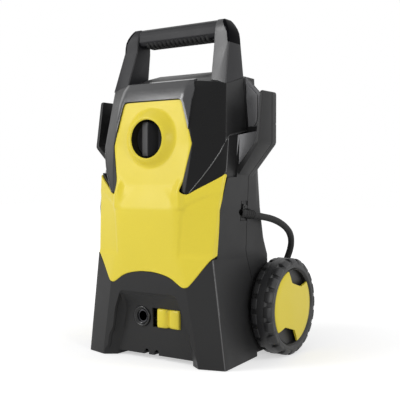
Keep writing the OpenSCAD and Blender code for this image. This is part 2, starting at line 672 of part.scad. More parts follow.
// the inlet stands to the side, so that the coiled cord leaves its way free
inlet_x = 24;
inlet_z = axle_z - axle_d / 2 - 19;
inlet_neck_d = inlet_d - 1;
capacitor_y = back_y - wall - 38;
capacitor_x = sqrt(max(0, pow((motor_d + capacitor_d) / 2 + gap, 2) - pow(capacitor_y - motor_y, 2)));
capacitor_at = [capacitor_x, capacitor_y, body_h - 110];
brush_z = 231;
brush_in_x = 15;
brush_out_x = motor_d / 2 + 5;

case_top_z = 146;
housing_top_z = 250;
fan_z = 262;
piston_angles = [30, 150, 270];
module at_motor(z = 0) translate([0, motor_y, z]) children();
module at_pistons() for (a = piston_angles) at_motor() rotate([0, 0, a])
    translate([piston_pcd / 2, 0, 0]) children();

module pump_head() color([0.70, 0.71, 0.72]) difference() {
    union() {
        at_motor(pump_low_z) linear_extrude(pump_top_z - pump_low_z) offset(r = 8, $fn = 32)
            square([68, 54], center = true);
        translate([outlet_x, 0, outlet_z]) bar_y(socket_bore_d + 12, pump_front_y - 6, pump_front_y + 2);
        translate([inlet_x, 0, inlet_z]) bar_y(26, pump_back_y - 2, pump_back_y + 8);
    }
    at_pistons() translate([0, 0, 50]) cylinder(d = piston_d + 0.1, h = 40);
    translate([outlet_x, 0, outlet_z]) bar_y(socket_bore_d + 4.1, pump_front_y - 10, pump_front_y + 10);
    translate([inlet_x, 0, inlet_z]) bar_y(16, pump_back_y - 10, pump_back_y + 12);
}
module pump_feet() color([0.09, 0.09, 0.09]) for (s = sides, y = [-24, 24])
    at_motor() translate([s * 30, y, floor_gap + wall + gap])
        cylinder(d = 16, h = pump_low_z - floor_gap - wall - 2 * gap);
module pressure_switch() color([0.2, 0.2, 0.22])
    translate([-64, motor_y - 10, outlet_z - 14]) cube([64 - 42 - gap, 20, 28]);
module pistons() color([0.8, 0.8, 0.82]) at_pistons() {
    translate([0, 0, 53]) cylinder(d = piston_d, h = 48);
    translate([0, 0, 100]) cylinder(d = piston_d + 5, h = 3);
}
module piston_springs() color([0.6, 0.6, 0.62]) at_pistons()
    translate([0, 0, 83.2]) coil_spring(piston_d / 2 + 1.4, 0.8, 15.6, 4);
module coil_spring(r, wire, len, turns) {
    steps = turns * 10;
    skin([for (i = [0:steps]) let (a = i * 36, t = i / steps)
        [for (k = [0:5]) let (b = -k * 60)
            [(r + wire * cos(b)) * cos(a), (r + wire * cos(b)) * sin(a), len * t + wire * sin(b)]]]);
}
module gear_case() color([0.62, 0.63, 0.64]) at_motor() difference() {
    cylinder_between(motor_d, pump_top_z + gap, case_top_z);
    cylinder_between(motor_d - 10, pump_top_z + 4, case_top_z - 6);
    cylinder_between(shaft_d + 8, 0, big);
    for (a = piston_angles) rotate([0, 0, a]) translate([piston_pcd / 2, 0, 0])
        cylinder_between(piston_d + 1, 0, pump_top_z + 10);
}
module cylinder_between(d, from, to) translate([0, 0, from]) cylinder(d = d, h = to - from);
module wobble_plate() color([0.55, 0.56, 0.58]) at_motor() difference() {
    cylinder_between(motor_d - 20, 104, 126);
    cylinder_between(shaft_d + 0.1, 0, big);
    // the slanted face that the pistons ride on
    translate([0, 0, 104.4]) rotate([0, 11, 0]) translate([-50, -50, -24]) cube([100, 100, 24.1]);
}
module motor_housing() color([0.25, 0.25, 0.26]) at_motor() difference() {
    cylinder_between(motor_d, case_top_z + gap, housing_top_z);
    cylinder_between(motor_d - 6, case_top_z + 5, housing_top_z - 4);
    cylinder_between(32.2, case_top_z, case_top_z + 9.6);
    cylinder_between(26.2, housing_top_z - 9, big);
    cylinder_between(shaft_d + 6, 0, big);
    for (s = sides) translate([s * motor_d / 2, 0, brush_z]) cube([30, 13, 13], center = true);
}
module stator() color([0.45, 0.45, 0.47]) at_motor() difference() {
    cylinder_between(motor_d - 6 - 2 * gap, 162, 214);
    cylinder_between(50, 100, 300);
}
module rotor() color([0.65, 0.55, 0.42]) at_motor() {
    cylinder_between(shaft_d, 108, fan_z + 18);
    cylinder_between(48, 164, 212);
    cylinder_between(28, 222, 240);
}
module motor_bearings() color([0.7, 0.7, 0.72]) at_motor() {
    difference() {
        cylinder_between(32, case_top_z + gap, case_top_z + 9.3);
        cylinder_between(shaft_d + 0.1, 0, big);
    }
    difference() {
        cylinder_between(26, housing_top_z - 4 + gap, housing_top_z + 4);
        cylinder_between(shaft_d + 0.1, 0, big);
    }
}
module brush_holders() color([0.5, 0.4, 0.2]) at_motor() for (s = sides)
    translate([s * (brush_in_x + brush_out_x) / 2, 0, brush_z])
        cube([brush_out_x - brush_in_x, 12, 12], center = true);
module cooling_fan() color([0.8, 0.8, 0.8]) at_motor(fan_z) difference() {
    union() {
        cylinder(d = 22, h = 15);
        cylinder(d = motor_d - 12, h = 2);
        for (a = [0:40:320]) rotate([0, 0, a]) translate([9, -1, 0]) cube([motor_d / 2 - 16, 2, 14]);
    }
    translate([0, 0, -1]) cylinder(d = shaft_d + 0.1, h = 40);
}
module fan_shroud() color([0.2, 0.2, 0.2]) at_motor() difference() {
    cylinder_between(motor_d, housing_top_z + gap, fan_z + 20);
    cylinder_between(motor_d - 6, 0, big);
}
module capacitor() color([0.85, 0.85, 0.82]) translate(capacitor_at) cylinder(d = capacitor_d, h = 44);

// ---- water inlet at the back
module water_inlet() color([0.78, 0.66, 0.36]) translate([inlet_x, 0, inlet_z]) difference() {
    union() {
        bar_y(inlet_neck_d, back_y - wall - 1, back_y + 1);
        bar_y(inlet_d, back_y + gap, back_y + 16);
        bar_y(inlet_d + 8, back_y - wall - 4, back_y - wall - gap);
    }
    bar_y(16, 0, back_y + 20);
}
module inlet_filter() color([0.85, 0.85, 0.86]) translate([inlet_x, 0, inlet_z]) difference() {
    bar_y(15.6, back_y - 7, back_y + 12);
    bar_y(12.4, back_y - 5, back_y + 14);
}
module inlet_pipe() color([0.3, 0.3, 0.32]) translate([inlet_x, 0, inlet_z]) difference() {
    bar_y(22, pump_back_y + 8 + gap, back_y - wall - 4 - gap);
    bar_y(15, 0, big);
}

// ---- leads, mains cord and plug
// Smooth points through a route, steps to each stretch (Catmull-Rom).
function smooth(pts, steps) = let (n = len(pts)) concat([for (i = [0:n - 2], k = [0:steps - 1]) let (
    t = k / steps, a = pts[max(i - 1, 0)], b = pts[i], c = pts[i + 1], d = pts[min(i + 2, n - 1)])
    ((2 * b) + (c - a) * t + (2 * a - 5 * b + 4 * c - d) * t * t
        + (3 * b - a - 3 * c + d) * t * t * t) / 2], [pts[n - 1]]);
function unit(v) = v / norm(v);
module hose(path, d, count) {
    n = len(path);
    skin([for (i = [0:n - 1]) let (
        way = unit(path[min(i + 1, n - 1)] - path[max(i - 1, 0)]),
        side = unit(cross(way, abs(way[2]) > 0.9 ? [0, 1, 0] : [0, 0, 1])),
        lift = cross(side, way))
        [for (k = [0:count - 1]) let (a = -k * 360 / count)
            path[i] + d / 2 * (cos(a) * side + sin(a) * lift)]]);
}
switch_low = [0, seat_y + seat_t + 14, knob_z - 20];
lead_bow_x = 0.42 * motor_d / 2 + 0.58 * guide_in_x;
module inner_leads() color([0.1, 0.1, 0.1]) {
    hose(smooth([relief_in - [0.2, 0.5, 0], relief_in + [-6.4, -15, 2], relief_in + [-19.4, -27, 15],
        switch_low + [56, 4.6, -41.5], switch_low + [26, -0.4, -19.5], switch_low + [10, 0, -14],
        switch_low + [10, 0, -gap]], 3), 6, 8);
    hose(smooth([switch_low + [-10, 0, -gap], switch_low + [-10, 0, -12], switch_low + [-30, 4.6, -27.5],
        switch_low + [-46, 18.6, -43.5], [-lead_bow_x, motor_y - 23, brush_z + 3],
        [1 - lead_bow_x, motor_y - 4, brush_z], [-brush_out_x - 1.8, motor_y, brush_z]], 3), 5, 8);
}
module strain_relief() color([0.08, 0.08, 0.08]) {
    along_relief() cylinder(d1 = cord_d + 4, d2 = cord_d + 1.6, h = relief_len);
    translate([half_w - 6.5, slot_y[0] + gap, slot_z[0] + gap])
        cube([8, 3, slot_z[1] - slot_z[0] - 2 * gap]);
}
route = [relief_out, [112, 9, 201], [115, 27, 198], [117, 43, 194], [118, 60, 188], [116, 80, 180],
    [113, 98, 170], [109, 110, 159], [102, 116, 146], [94, 118, 132], [86, 118, 113], [80, 118, 91],
    [76, 118, 68], [72, 118, 45], [65, 118, 24], [53, 115, 11], [37, 111, 6.5], [17, 108, 5.4],
    [-5, 105.5, 5.2], [-25, 104, 5.2], [-45, 104, 5.2]];
tie_t = 0.9;
coil_at = [-72, 172, tie_t + gap];
coil_w = coil_wide * cord_d;
coil_h = coil_high * cord_d;
module power_cord() color([0.07, 0.07, 0.07]) hose(smooth(route, 2), cord_d, 10);
module cord_coil() color([0.07, 0.07, 0.07]) translate(coil_at) rotate_extrude()
    translate([coil_d / 2 - coil_w / 2, 0]) polygon([[4, 0], [coil_w - 4, 0], [coil_w, 4],
        [coil_w, coil_h - 4], [coil_w - 4, coil_h], [4, coil_h], [0, coil_h - 4], [0, 4]]);
// a strap round the coil, on the side away from the machine's front
module cord_tie() color([0.2, 0.2, 0.2])
    translate([coil_at[0] - coil_d / 2, coil_at[1], coil_at[2] + coil_h / 2]) difference() {
        cube([coil_w + 1.6 + 2 * tie_t, 10, coil_h + 2 * gap + 2 * tie_t], center = true);
        cube([coil_w + 1.6, 11, coil_h + 2 * gap], center = true);
    }
// the plug lies on the coil's far side, on a flat of its body
plug_flat = 15;
plug_len = 56;
plug_at = [coil_at[0] - 30, coil_at[1] + coil_d / 2, coil_at[2] + coil_h + plug_flat];
module plug_body() color([0.07, 0.07, 0.07]) translate(plug_at) difference() {
    rotate([0, 90, 0]) rotate_extrude() polygon([[0, -20], [cord_d / 2 + 1, -20], [cord_d / 2 + 4, 0],
        [plug_d / 2 - 3, 14], [plug_d / 2, 20], [plug_d / 2, plug_len], [0, plug_len]]);
    translate([-30, -30, -plug_flat - 20]) cube([100, 60, 20]);
    for (s = sides) translate([0, s * pin_pitch / 2, 0]) bar_x(pin_d + 0.1, plug_len - 8, plug_len + 1);
}
pin_d = 4.8;
pin_pitch = 19;
module plug_pins() color([0.8, 0.8, 0.8]) translate(plug_at) for (s = sides)
    translate([0, s * pin_pitch / 2, 0]) bar_x(pin_d, plug_len - 8, plug_len + 19);

front_shell();
rear_shell();
front_panel();
console_hood();
control_knob();
switch_body();
outlet_collar();
outlet_socket();
release_slider();
release_spring();
handle_frame();
handle_grip();
handle_cap(-1);  // handle_cap_left
handle_cap(1);  // handle_cap_right
handle_tube(-1);  // handle_tube_left
handle_tube(1);  // handle_tube_right
tube_plug(-1);  // tube_plug_left
tube_plug(1);  // tube_plug_right
tube_guide(-1);  // tube_guide_left
tube_guide(1);  // tube_guide_right
tyre(-1);  // tyre_left
tyre(1);  // tyre_right
wheel_rim(-1);  // wheel_rim_left
wheel_rim(1);  // wheel_rim_right
wheel_cover(-1);  // wheel_cover_left
wheel_cover(1);  // wheel_cover_right
axle();
axle_nuts();
foot_pads();
casing_screws();
pump_head();
pump_feet();
pressure_switch();
pistons();
piston_springs();
gear_case();
wobble_plate();
motor_housing();
stator();
rotor();
motor_bearings();
brush_holders();
cooling_fan();
fan_shroud();
capacitor();
water_inlet();
inlet_filter();
inlet_pipe();
inner_leads();
strain_relief();
power_cord();
cord_coil();
cord_tie();
plug_body();
plug_pins();
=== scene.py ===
import logging
import math
from dataclasses import dataclass, field
from enum import Enum
from typing import Callable, Sequence

import bmesh
import bpy
from mathutils import Matrix, Vector
from mathutils.geometry import delaunay_2d_cdt
from mathutils.kdtree import KDTree


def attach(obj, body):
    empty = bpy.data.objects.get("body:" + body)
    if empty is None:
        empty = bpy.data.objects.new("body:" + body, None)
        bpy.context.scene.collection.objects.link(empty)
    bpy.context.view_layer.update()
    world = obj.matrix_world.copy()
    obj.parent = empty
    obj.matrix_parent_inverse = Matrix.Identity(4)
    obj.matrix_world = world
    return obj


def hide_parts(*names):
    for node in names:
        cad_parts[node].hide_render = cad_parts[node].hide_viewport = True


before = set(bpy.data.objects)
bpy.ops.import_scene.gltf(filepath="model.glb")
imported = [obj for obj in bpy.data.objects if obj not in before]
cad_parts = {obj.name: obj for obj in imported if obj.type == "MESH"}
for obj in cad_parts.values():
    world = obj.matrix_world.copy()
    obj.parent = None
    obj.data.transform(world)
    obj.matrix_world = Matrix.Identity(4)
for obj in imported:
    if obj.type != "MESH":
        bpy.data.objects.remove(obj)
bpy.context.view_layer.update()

Point2 = tuple[float, float]
Line = Sequence[Point2]
Table = Sequence[tuple[float, float]]
Numbers = Sequence[float]
Mesh = bpy.types.Mesh
Socket = bpy.types.NodeSocket

log = logging.getLogger("pressure_washer")

MM = 0.001
SIDES = (-1, 1)

# Sizes and places in millimetres that several pieces share: (across, up) for the outlet,
# (back, up) for the axle and (across, back) for the handle tube on the right.
KNOB_Z = 309.5
OUTLET = (-22.5, 60.0)
AXLE = (45.0, 70.0)
TUBE_AT = (81.1, -32.0)
ARM_X = 145.0
RECESS_Y = -93.5
KNOB_SEAT_Y = -96.0
FRONT_LIMIT_Y = -114.7
PANEL_THICK = 2.4
FAR = 200.0


def add_object(name: str, data: bpy.types.ID) -> bpy.types.Object:
    """Put a new object with the data into the scene.

    Args:
        name: the object's name.
        data: its mesh, curve, camera or lamp.

    Returns:
        The object.
    """
    made = bpy.data.objects.new(name, data)
    bpy.context.scene.collection.objects.link(made)
    return made


def settled(subject: bpy.types.Object, helper: bpy.types.Object) -> Mesh:
    """Apply an object's modifiers, and remove it and the helper that they use.

    Args:
        subject: the object with the modifiers.
        helper: the object that they refer to.

    Returns:
        The mesh that they give.
    """
    view = bpy.context.evaluated_depsgraph_get()
    mesh = bpy.data.meshes.new_from_object(subject.evaluated_get(view))
    bpy.data.objects.remove(subject)
    bpy.data.objects.remove(helper)
    return mesh


# ---------- materials


class Grain(Enum):
    """How the surface of a finish is worked."""

    SPARK = "spark-eroded mould grain"
    POLISHED = "polished mould"
    BRUSHED = "drawn or turned metal"
    CAST = "sand-cast metal"
    RUBBER = "soft moulded rubber"


@dataclass(frozen=True)
class Finish:
    """One finish of a surface, built from nodes on Object coordinates.

    Attributes:
        name: the material's name.
        colour: base colour, linear.
        rough: mean roughness.
        grain: how the surface is worked.
        metal: metallic share.
        specular: specular level of the shader.
        vary: share by which the colour drifts over a hand's width.
        grain_size: size of the surface grain, in metres.
        grain_depth: depth of the grain, in metres.
    """

    name: str
    colour: tuple[float, float, float]
    rough: float
    grain: Grain = Grain.SPARK
    metal: float = 0.0
    specular: float = 0.5
    vary: float = 0.05
    grain_size: float = 0.0006
    grain_depth: float = 0.00004

    def material(self) -> bpy.types.Material:
        """Build the material, or return it if it has been built.

        Returns:
            The node material.
        """
        made = bpy.data.materials.get(self.name)
        if made is not None:
            return made
        mat = bpy.data.materials.new(self.name)
        mat.use_nodes = True
        mat.diffuse_color = (*self.colour, 1.0)
        net = Net(mat.node_tree)
        shader = mat.node_tree.nodes["Principled BSDF"]
        shader.inputs["Metallic"].default_value = self.metal
        shader.inputs["Specular IOR Level"].default_value = self.specular
        place = net.add("ShaderNodeTexCoord").outputs["Object"]
        drift = net.noise(place, 9.0, 3.0)
        shade = net.ramp(drift, 0.3, 0.7, self._tone(1 - self.vary), self._tone(1 + self.vary))
        fine = self._grain_field(net, place)
        speck = net.ramp(fine, 0.2, 0.8, (0.93,) * 3, (1.05,) * 3)
        net.link(net.blend(shade, speck), shader.inputs["Base Color"])
        spread = 0.16 if self.grain is Grain.BRUSHED else 0.08
        smear = net.noise(place, 30.0, 4.0)
        low, high = ((self.rough + sign * spread / 2,) * 3 for sign in SIDES)
        worn = net.ramp(smear, 0.3, 0.72, low, high)
        net.link(worn, shader.inputs["Roughness"])
        bump = net.add("ShaderNodeBump")
        bump.inputs["Strength"].default_value = 0.25 if self.grain is Grain.POLISHED else 0.7
        bump.inputs["Distance"].default_value = self.grain_depth
        net.link(fine, bump.inputs["Height"])
        net.link(bump.outputs["Normal"], shader.inputs["Normal"])
        return mat

    def _tone(self, share: float) -> tuple[float, float, float]:
        """The base colour, lighter or darker by a share."""
        return tuple(min(1.0, c * share) for c in self.colour)

    def _grain_field(self, net: "Net", place: Socket) -> Socket:
        """The height of the surface's grain, from 0 to 1.

        Args:
            net: the tree to build in.
            place: the coordinates.

        Returns:
            The socket that holds the height.
        """
        scale = 1.0 / self.grain_size
        if self.grain is Grain.BRUSHED:
            drawn = net.add("ShaderNodeMapping")
            drawn.inputs["Scale"].default_value = (1.0, 1.0, 0.06)
            net.link(place, drawn.inputs["Vector"])
            return net.noise(drawn.outputs["Vector"], scale, 2.0)
        if self.grain is Grain.CAST:
            cells = net.add("ShaderNodeTexVoronoi")
            cells.inputs["Scale"].default_value = scale
            net.link(place, cells.inputs["Vector"])
            return cells.outputs["Distance"]
        return net.noise(place, scale, 3.0)


class Net:
    """A node tree with short calls for the nodes that the finishes use."""

    def __init__(self, tree: bpy.types.NodeTree) -> None:
        """Keep the tree that the calls build in."""
        self.tree = tree

    def add(self, kind: str) -> bpy.types.Node:
        """Add a node of a kind."""
        return self.tree.nodes.new(kind)

    def link(self, out: Socket, into: Socket) -> None:
        """Join two sockets."""
        self.tree.links.new(out, into)

    def noise(self, place: Socket, scale: float, detail: float) -> Socket:
        """A noise field.

        Args:
            place: the coordinates.
            scale: waves in a metre.
            detail: octaves.

        Returns:
            The field's factor, about 0.3 to 0.7.
        """
        node = self.add("ShaderNodeTexNoise")
        node.inputs["Scale"].default_value = scale
        node.inputs["Detail"].default_value = detail
        self.link(place, node.inputs["Vector"])
        return node.outputs["Fac"]

    def ramp(self, value: Socket, low: float, high: float, dark: Numbers, light: Numbers) -> Socket:
        """A colour between two, by a value between two.

        Args:
            value: the value to read.
            low: the value that gives the dark colour.
            high: the value that gives the light colour.
            dark: the colour at low.
            light: the colour at high.

        Returns:
            The colour's socket.
        """
        node = self.add("ShaderNodeValToRGB")
        node.color_ramp.elements[0].position = low
        node.color_ramp.elements[0].color = (*dark, 1.0)
        node.color_ramp.elements[1].position = high
        node.color_ramp.elements[1].color = (*light, 1.0)
        self.link(value, node.inputs["Fac"])
        return node.outputs["Color"]

    def blend(self, first: Socket, second: Socket) -> Socket:
        """The product of two colours.

        Args:
            first: the first colour.
            second: the second colour.

        Returns:
            The product's socket.
        """
        node = self.add("ShaderNodeMix")
        node.data_type = "RGBA"
        node.blend_type = "MULTIPLY"
        node.inputs[0].default_value = 1.0
        self.link(first, node.inputs[6])
        self.link(second, node.inputs[7])
        return node.outputs[2]


YELLOW = Finish(
    "yellow_moulding", (0.80, 0.652, 0.052), 0.34, specular=0.3, vary=0.02, grain_depth=0.00002,
)
SHELL_BLACK = Finish("casing_black", (0.021, 0.021, 0.0215), 0.46, specular=0.2)
COWL_BLACK = Finish("cowl_black", (0.006, 0.006, 0.0063), 0.3, specular=0.16, grain_depth=0.00002)
# Painted light: a pale grey for the arms' webs and pocket floors where they face forwards.
ARM_POCKET_PAINTED_LIGHT = Finish("arm_pocket_painted_light", (0.3, 0.3, 0.31), 0.3, specular=0.5)
# Painted highlight: a lighter, glossier black for the corner edges and the cowl's bead.
EDGE_PAINTED_HIGHLIGHT = Finish("edge_painted_highlight", (0.06, 0.06, 0.061), 0.24, specular=0.6)
HOOD_GREY = Finish("hood_black", (0.017, 0.017, 0.019), 0.22, specular=0.75)
HANDLE_GREY = Finish("handle_black", (0.034, 0.034, 0.036), 0.34, specular=0.5)
# Painted shade: a darker black for the handle's bar, its faces turned right and the left upright's front.
HANDLE_PAINTED_SHADE = Finish("handle_painted_shade", (0.014, 0.014, 0.016), 0.4, specular=0.18)
GLOSS_BLACK = Finish("gloss_black", (0.004, 0.004, 0.005), 0.12, Grain.POLISHED, specular=0.012)
KNOB_BLACK = Finish("knob_black", (0.013, 0.013, 0.014), 0.34, specular=0.06)
# Painted light: a lighter black for the left faces of the knob's grip.
KNOB_PAINTED_LIGHT = Finish("knob_painted_light", (0.085, 0.085, 0.09), 0.34, specular=0.2)
GRIP_RUBBER = Finish("grip_rubber", (0.016, 0.016, 0.018), 0.62, Grain.RUBBER, specular=0.3)
TYRE_RUBBER = Finish(
    "tyre_rubber", (0.022, 0.022, 0.023), 0.44, Grain.RUBBER, specular=0.36, grain_size=0.0012,
)
CORD_RUBBER = Finish(
    "cord_rubber", (0.03, 0.03, 0.031), 0.34, Grain.RUBBER, specular=0.5, grain_size=0.0008,
)
INNER_BLACK = Finish("inner_black", (0.012, 0.012, 0.012), 0.55)
WHITE_PLASTIC = Finish("white_moulding", (0.72, 0.72, 0.7), 0.42)
BRASS = Finish("turned_brass", (0.66, 0.47, 0.2), 0.28, Grain.BRUSHED, metal=1.0)
STEEL = Finish("ground_steel", (0.56, 0.57, 0.58), 0.3, Grain.BRUSHED, metal=1.0)
TUBE = Finish("chromed_tube", (0.7, 0.71, 0.72), 0.2, Grain.BRUSHED, metal=1.0)
ALUMINIUM = Finish("cast_aluminium", (0.5, 0.51, 0.52), 0.5, Grain.CAST, metal=1.0, grain_size=0.002)
COLLAR_BLACK = Finish("collar_black", (0.008, 0.008, 0.009), 0.24, Grain.POLISHED, specular=0.4)
GUN_METAL = Finish("blackened_steel", (0.06, 0.06, 0.065), 0.25, Grain.BRUSHED, metal=1.0)
RIM_BLACK = Finish("rim_black", (0.02, 0.02, 0.021), 0.42, specular=0.35)


# ---------- solids, in millimetres


class Cut(Enum):
    """What a tool does to the solid it meets."""

    AWAY = "DIFFERENCE"
    KEEP = "INTERSECT"
    JOIN = "UNION"



def lookup(table: Table, at: float) -> float:
    """Read a table of steps, straight between them.

    Args:
        table: pairs of place and value, lowest place first.
        at: the place to read.

    Returns:
        The value there.
    """
    if at <= table[0][0]:
        return table[0][1]
    for (low, a), (high, b) in zip(table, table[1:]):
        if at <= high:
            return a + (b - a) * (at - low) / (high - low)
    return table[-1][1]


def ease(share: float) -> float:
    """Zero to one with a soft start and end."""
    share = min(1.0, max(0.0, share))
    return share * share * (3 - 2 * share)


def circle(radius: float, count: int) -> list[Point2]:
    """Points evenly round a circle about the origin."""
    turns = [2 * math.pi * k / count for k in range(count)]
    return [(radius * math.cos(a), radius * math.sin(a)) for a in turns]


def both_ends(steps: Table, low: float, high: float) -> list[Point2]:
    """Lay a table of steps at both ends of a span; where they meet, the place comes once.

    Args:
        steps: pairs of distance from the end and value.
        low: the span's lower end.
        high: its upper end.

    Returns:
        Pairs of place and value, lowest place first.
    """
    pairs = [(low + d, v) for d, v in steps] + [(high - d, v) for d, v in reversed(steps)]
    return list(dict(pairs).items())


def mirrored(half: Line) -> list[Point2]:
    """A closed outline from its right half."""
    return list(half) + [(-x, y) for x, y in reversed(half)]


def rounded(outline: Sequence[Numbers], radius: float = 0.0, steps: int = 5) -> list[Point2]:
    """Round the corners of a closed outline.

    Args:
        outline: corners as (x, y), or (x, y, radius) where a corner has its own.
        radius: radius of the corners that have none.
        steps: segments of each rounded corner.

    Returns:
        The rounded outline.
    """
    out: list[Point2] = []
    count = len(outline)
    for i, corner in enumerate(outline):
        here = Vector(corner[:2])
        size = corner[2] if len(corner) > 2 else radius
        before, after = Vector(outline[i - 1][:2]) - here, Vector(outline[(i + 1) % count][:2]) - here
        angle = before.angle(after)
        reach = min(size / math.tan(angle / 2), before.length * 0.48, after.length * 0.48) if size else 0.0
        if reach < 1e-3:
            out.append((here.x, here.y))
            continue
        start, end = here + before.normalized() * reach, here + after.normalized() * reach
        for k in range(steps + 1):
            t = k / steps
            spot = start * (1 - t) ** 2 + here * 2 * t * (1 - t) + end * t * t
            out.append((spot.x, spot.y))
    return out


def grown(outline: Line, by: float) -> list[Point2]:
    """Move every side of a closed outline outwards by the same distance.

    Args:
        outline: the corners.
        by: the distance; below zero it shrinks.

    Returns:
        The new corners.
    """
    area = sum(a[0] * b[1] - b[0] * a[1] for a, b in zip(outline, list(outline[1:]) + [outline[0]]))
    turn = 1.0 if area > 0 else -1.0
    out = []
    for i, here in enumerate(outline):
        a, b = Vector(outline[i - 1]), Vector(outline[(i + 1) % len(outline)])
        p = Vector(here)
        first, second = (p - a).normalized(), (b - p).normalized()
        m, k = Vector((first.y, -first.x)) * turn, Vector((second.y, -second.x)) * turn
        move = (m + k) * by / max(0.35, 1 + m.dot(k))
        out.append((p.x + move.x, p.y + move.y))
    return out


class Solid:
    """A closed mesh in millimetres that can be cut and joined."""

    def __init__(self, mesh: Mesh) -> None:
        """Keep the mesh."""
        self.mesh = mesh

    @staticmethod
    def from_faces(points: Sequence[Numbers], faces: Sequence[Sequence[int]]) -> "Solid":
        """A solid from its points and faces, with its faces turned outwards.

        Args:
            points: the corners.
            faces: each face's corners, by number.

        Returns:
            The solid.
        """
        mesh = bpy.data.meshes.new("solid")
        mesh.from_pydata([tuple(p) for p in points], [], [tuple(f) for f in faces])
        work = bmesh.new()
        work.from_mesh(mesh)
        bmesh.ops.recalc_face_normals(work, faces=work.faces)
        if work.calc_volume(signed=True) < 0:
            bmesh.ops.reverse_faces(work, faces=work.faces)
        work.to_mesh(mesh)
        work.free()
        return Solid(mesh)

    @staticmethod
    def loft(rings: Sequence[Sequence[Numbers]]) -> "Solid":
        """Join rings of equal count into one closed solid.

        Args:
            rings: rings of points, in order.

        Returns:
            The solid.
        """
        count = len(rings[0])
        points = [p for ring in rings for p in ring]
        faces: list[list[int]] = []
        for j in range(len(rings) - 1):
            for i in range(count):
                a, b = j * count + i, j * count + (i + 1) % count
                faces.append([a, b, b + count, a + count])
        faces.append(list(range(count))[::-1])
        faces.append([(len(rings) - 1) * count + i for i in range(count)])
        return Solid.from_faces(points, faces)

    @staticmethod
    def prism(outline: Line, low: float, high: float, axis: str = "z") -> "Solid":
        """An outline pushed along an axis.

        Args:
            outline: corners; on axis y they are (x, z), on axis x they are (y, z).
            low: where it starts.
            high: where it ends.
            axis: x, y or z.

        Returns:
            The solid.
        """
        def at(p: Point2, d: float) -> tuple[float, float, float]:
            """The corner at a depth along the axis."""
            return {"x": (d, p[0], p[1]), "y": (p[0], d, p[1]), "z": (p[0], p[1], d)}[axis]

        return Solid.loft([[at(p, low) for p in outline], [at(p, high) for p in outline]])

    @staticmethod
    def plate(
        outline: Sequence[Numbers], low: float, high: float, axis: str = "y", steps: int = 4,
    ) -> "Solid":
        """A prism with rounded corners.

        Args:
            outline: corners, each with its radius where it is rounded.
            low: where it starts.
            high: where it ends.
            axis: x, y or z.
            steps: segments of each rounded corner.

        Returns:
            The solid.
        """
        return Solid.prism(rounded(outline, steps=steps), low, high, axis)

    @staticmethod
    def box(low: Numbers, high: Numbers) -> "Solid":
        """A box between two corners."""
        outline = [(low[0], low[1]), (high[0], low[1]), (high[0], high[1]), (low[0], high[1])]
        return Solid.prism(outline, low[2], high[2])

    @staticmethod
    def turned(profile: Line, axis: str, at: Numbers, count: int = 64) -> "Solid":
        """A closed profile of (radius, place along the axis), turned about an axis.

        Args:
            profile: the outline; a radius of 0 stays on the axis.
            axis: x, y or z.
            at: the point that the axis passes through.
            count: segments of a turn.

        Returns:
            The solid.
        """
        points: list[tuple[float, float, float]] = []
        rings: list[list[int]] = []
        for radius, place in profile:
            ring = []
            for u, v in circle(radius, count if radius > 0 else 1):
                spot = {"x": (place, u, v), "y": (v, place, u), "z": (u, v, place)}[axis]
                ring.append(len(points))
                points.append(tuple(s + o for s, o in zip(spot, at)))
            rings.append(ring)
        faces: list[list[int]] = []
        for first, second in zip(rings, rings[1:] + rings[:1]):
            if len(first) == 1 and len(second) == 1:
                continue
            for k in range(count):
                m = (k + 1) % count
                if len(first) == 1:
                    faces.append([first[0], second[k], second[m]])
                elif len(second) == 1:
                    faces.append([first[k], second[0], first[m]])
                else:
                    faces.append([first[k], second[k], second[m], first[m]])
        return Solid.from_faces(points, faces)

    def with_tool(self, tool: "Solid", cut: Cut) -> "Solid":
        """Cut, keep or join with another solid.

        Args:
            tool: the other solid.
            cut: what it does.

        Returns:
            The new solid.
        """
        base, other = add_object("base", self.mesh), add_object("tool", tool.mesh)
        change = base.modifiers.new("cut", "BOOLEAN")
        change.operation, change.object, change.solver = cut.value, other, "MANIFOLD"
        return Solid(settled(base, other))

    def __sub__(self, tool: "Solid") -> "Solid":
        """Cut the tool away."""
        return self.with_tool(tool, Cut.AWAY)

    def __and__(self, tool: "Solid") -> "Solid":
        """Keep what both hold."""
        return self.with_tool(tool, Cut.KEEP)

    def __or__(self, tool: "Solid") -> "Solid":
        """Join the tool."""
        return self.with_tool(tool, Cut.JOIN)

    def cut(self, *tools: "Solid") -> "Solid":
        """Cut several tools away, one after another.

        Args:
            tools: the solids to cut away.

        Returns:
            The new solid.
        """
        whole = self
        for tool in tools:
            whole = whole - tool
        return whole

    def flipped(self) -> "Solid":
        """The solid on the machine's other side.

        Returns:
            The mirrored solid.
        """
        mesh = self.mesh.copy()
        mesh.transform(Matrix.Scale(-1, 4, (1, 0, 0)))
        mesh.flip_normals()
        return Solid(mesh)

    def eased(self, width: float, angle: float = 30.0, steps: int = 2) -> "Solid":
        """Round the edges of a solid that has few faces.

        Args:
            width: width of the rounding.
            angle: edges that turn by more than this, in degrees, are rounded.
            steps: segments across the rounding.

        Returns:
            The rounded solid.
        """
        if width <= 0:
            return self
        work = bmesh.new()
        work.from_mesh(self.mesh)
        bmesh.ops.dissolve_limit(work, angle_limit=0.02, verts=work.verts, edges=work.edges)
        edges = [e for e in work.edges if e.is_manifold and e.calc_face_angle(0.0) > math.radians(angle)]
        bmesh.ops.bevel(
            work, geom=edges, offset=width, segments=steps, affect="EDGES", profile=0.5, clamp_overlap=True,
        )
        mesh = bpy.data.meshes.new("solid")
        work.to_mesh(mesh)
        work.free()
        return Solid(mesh)


# ---------- casing form


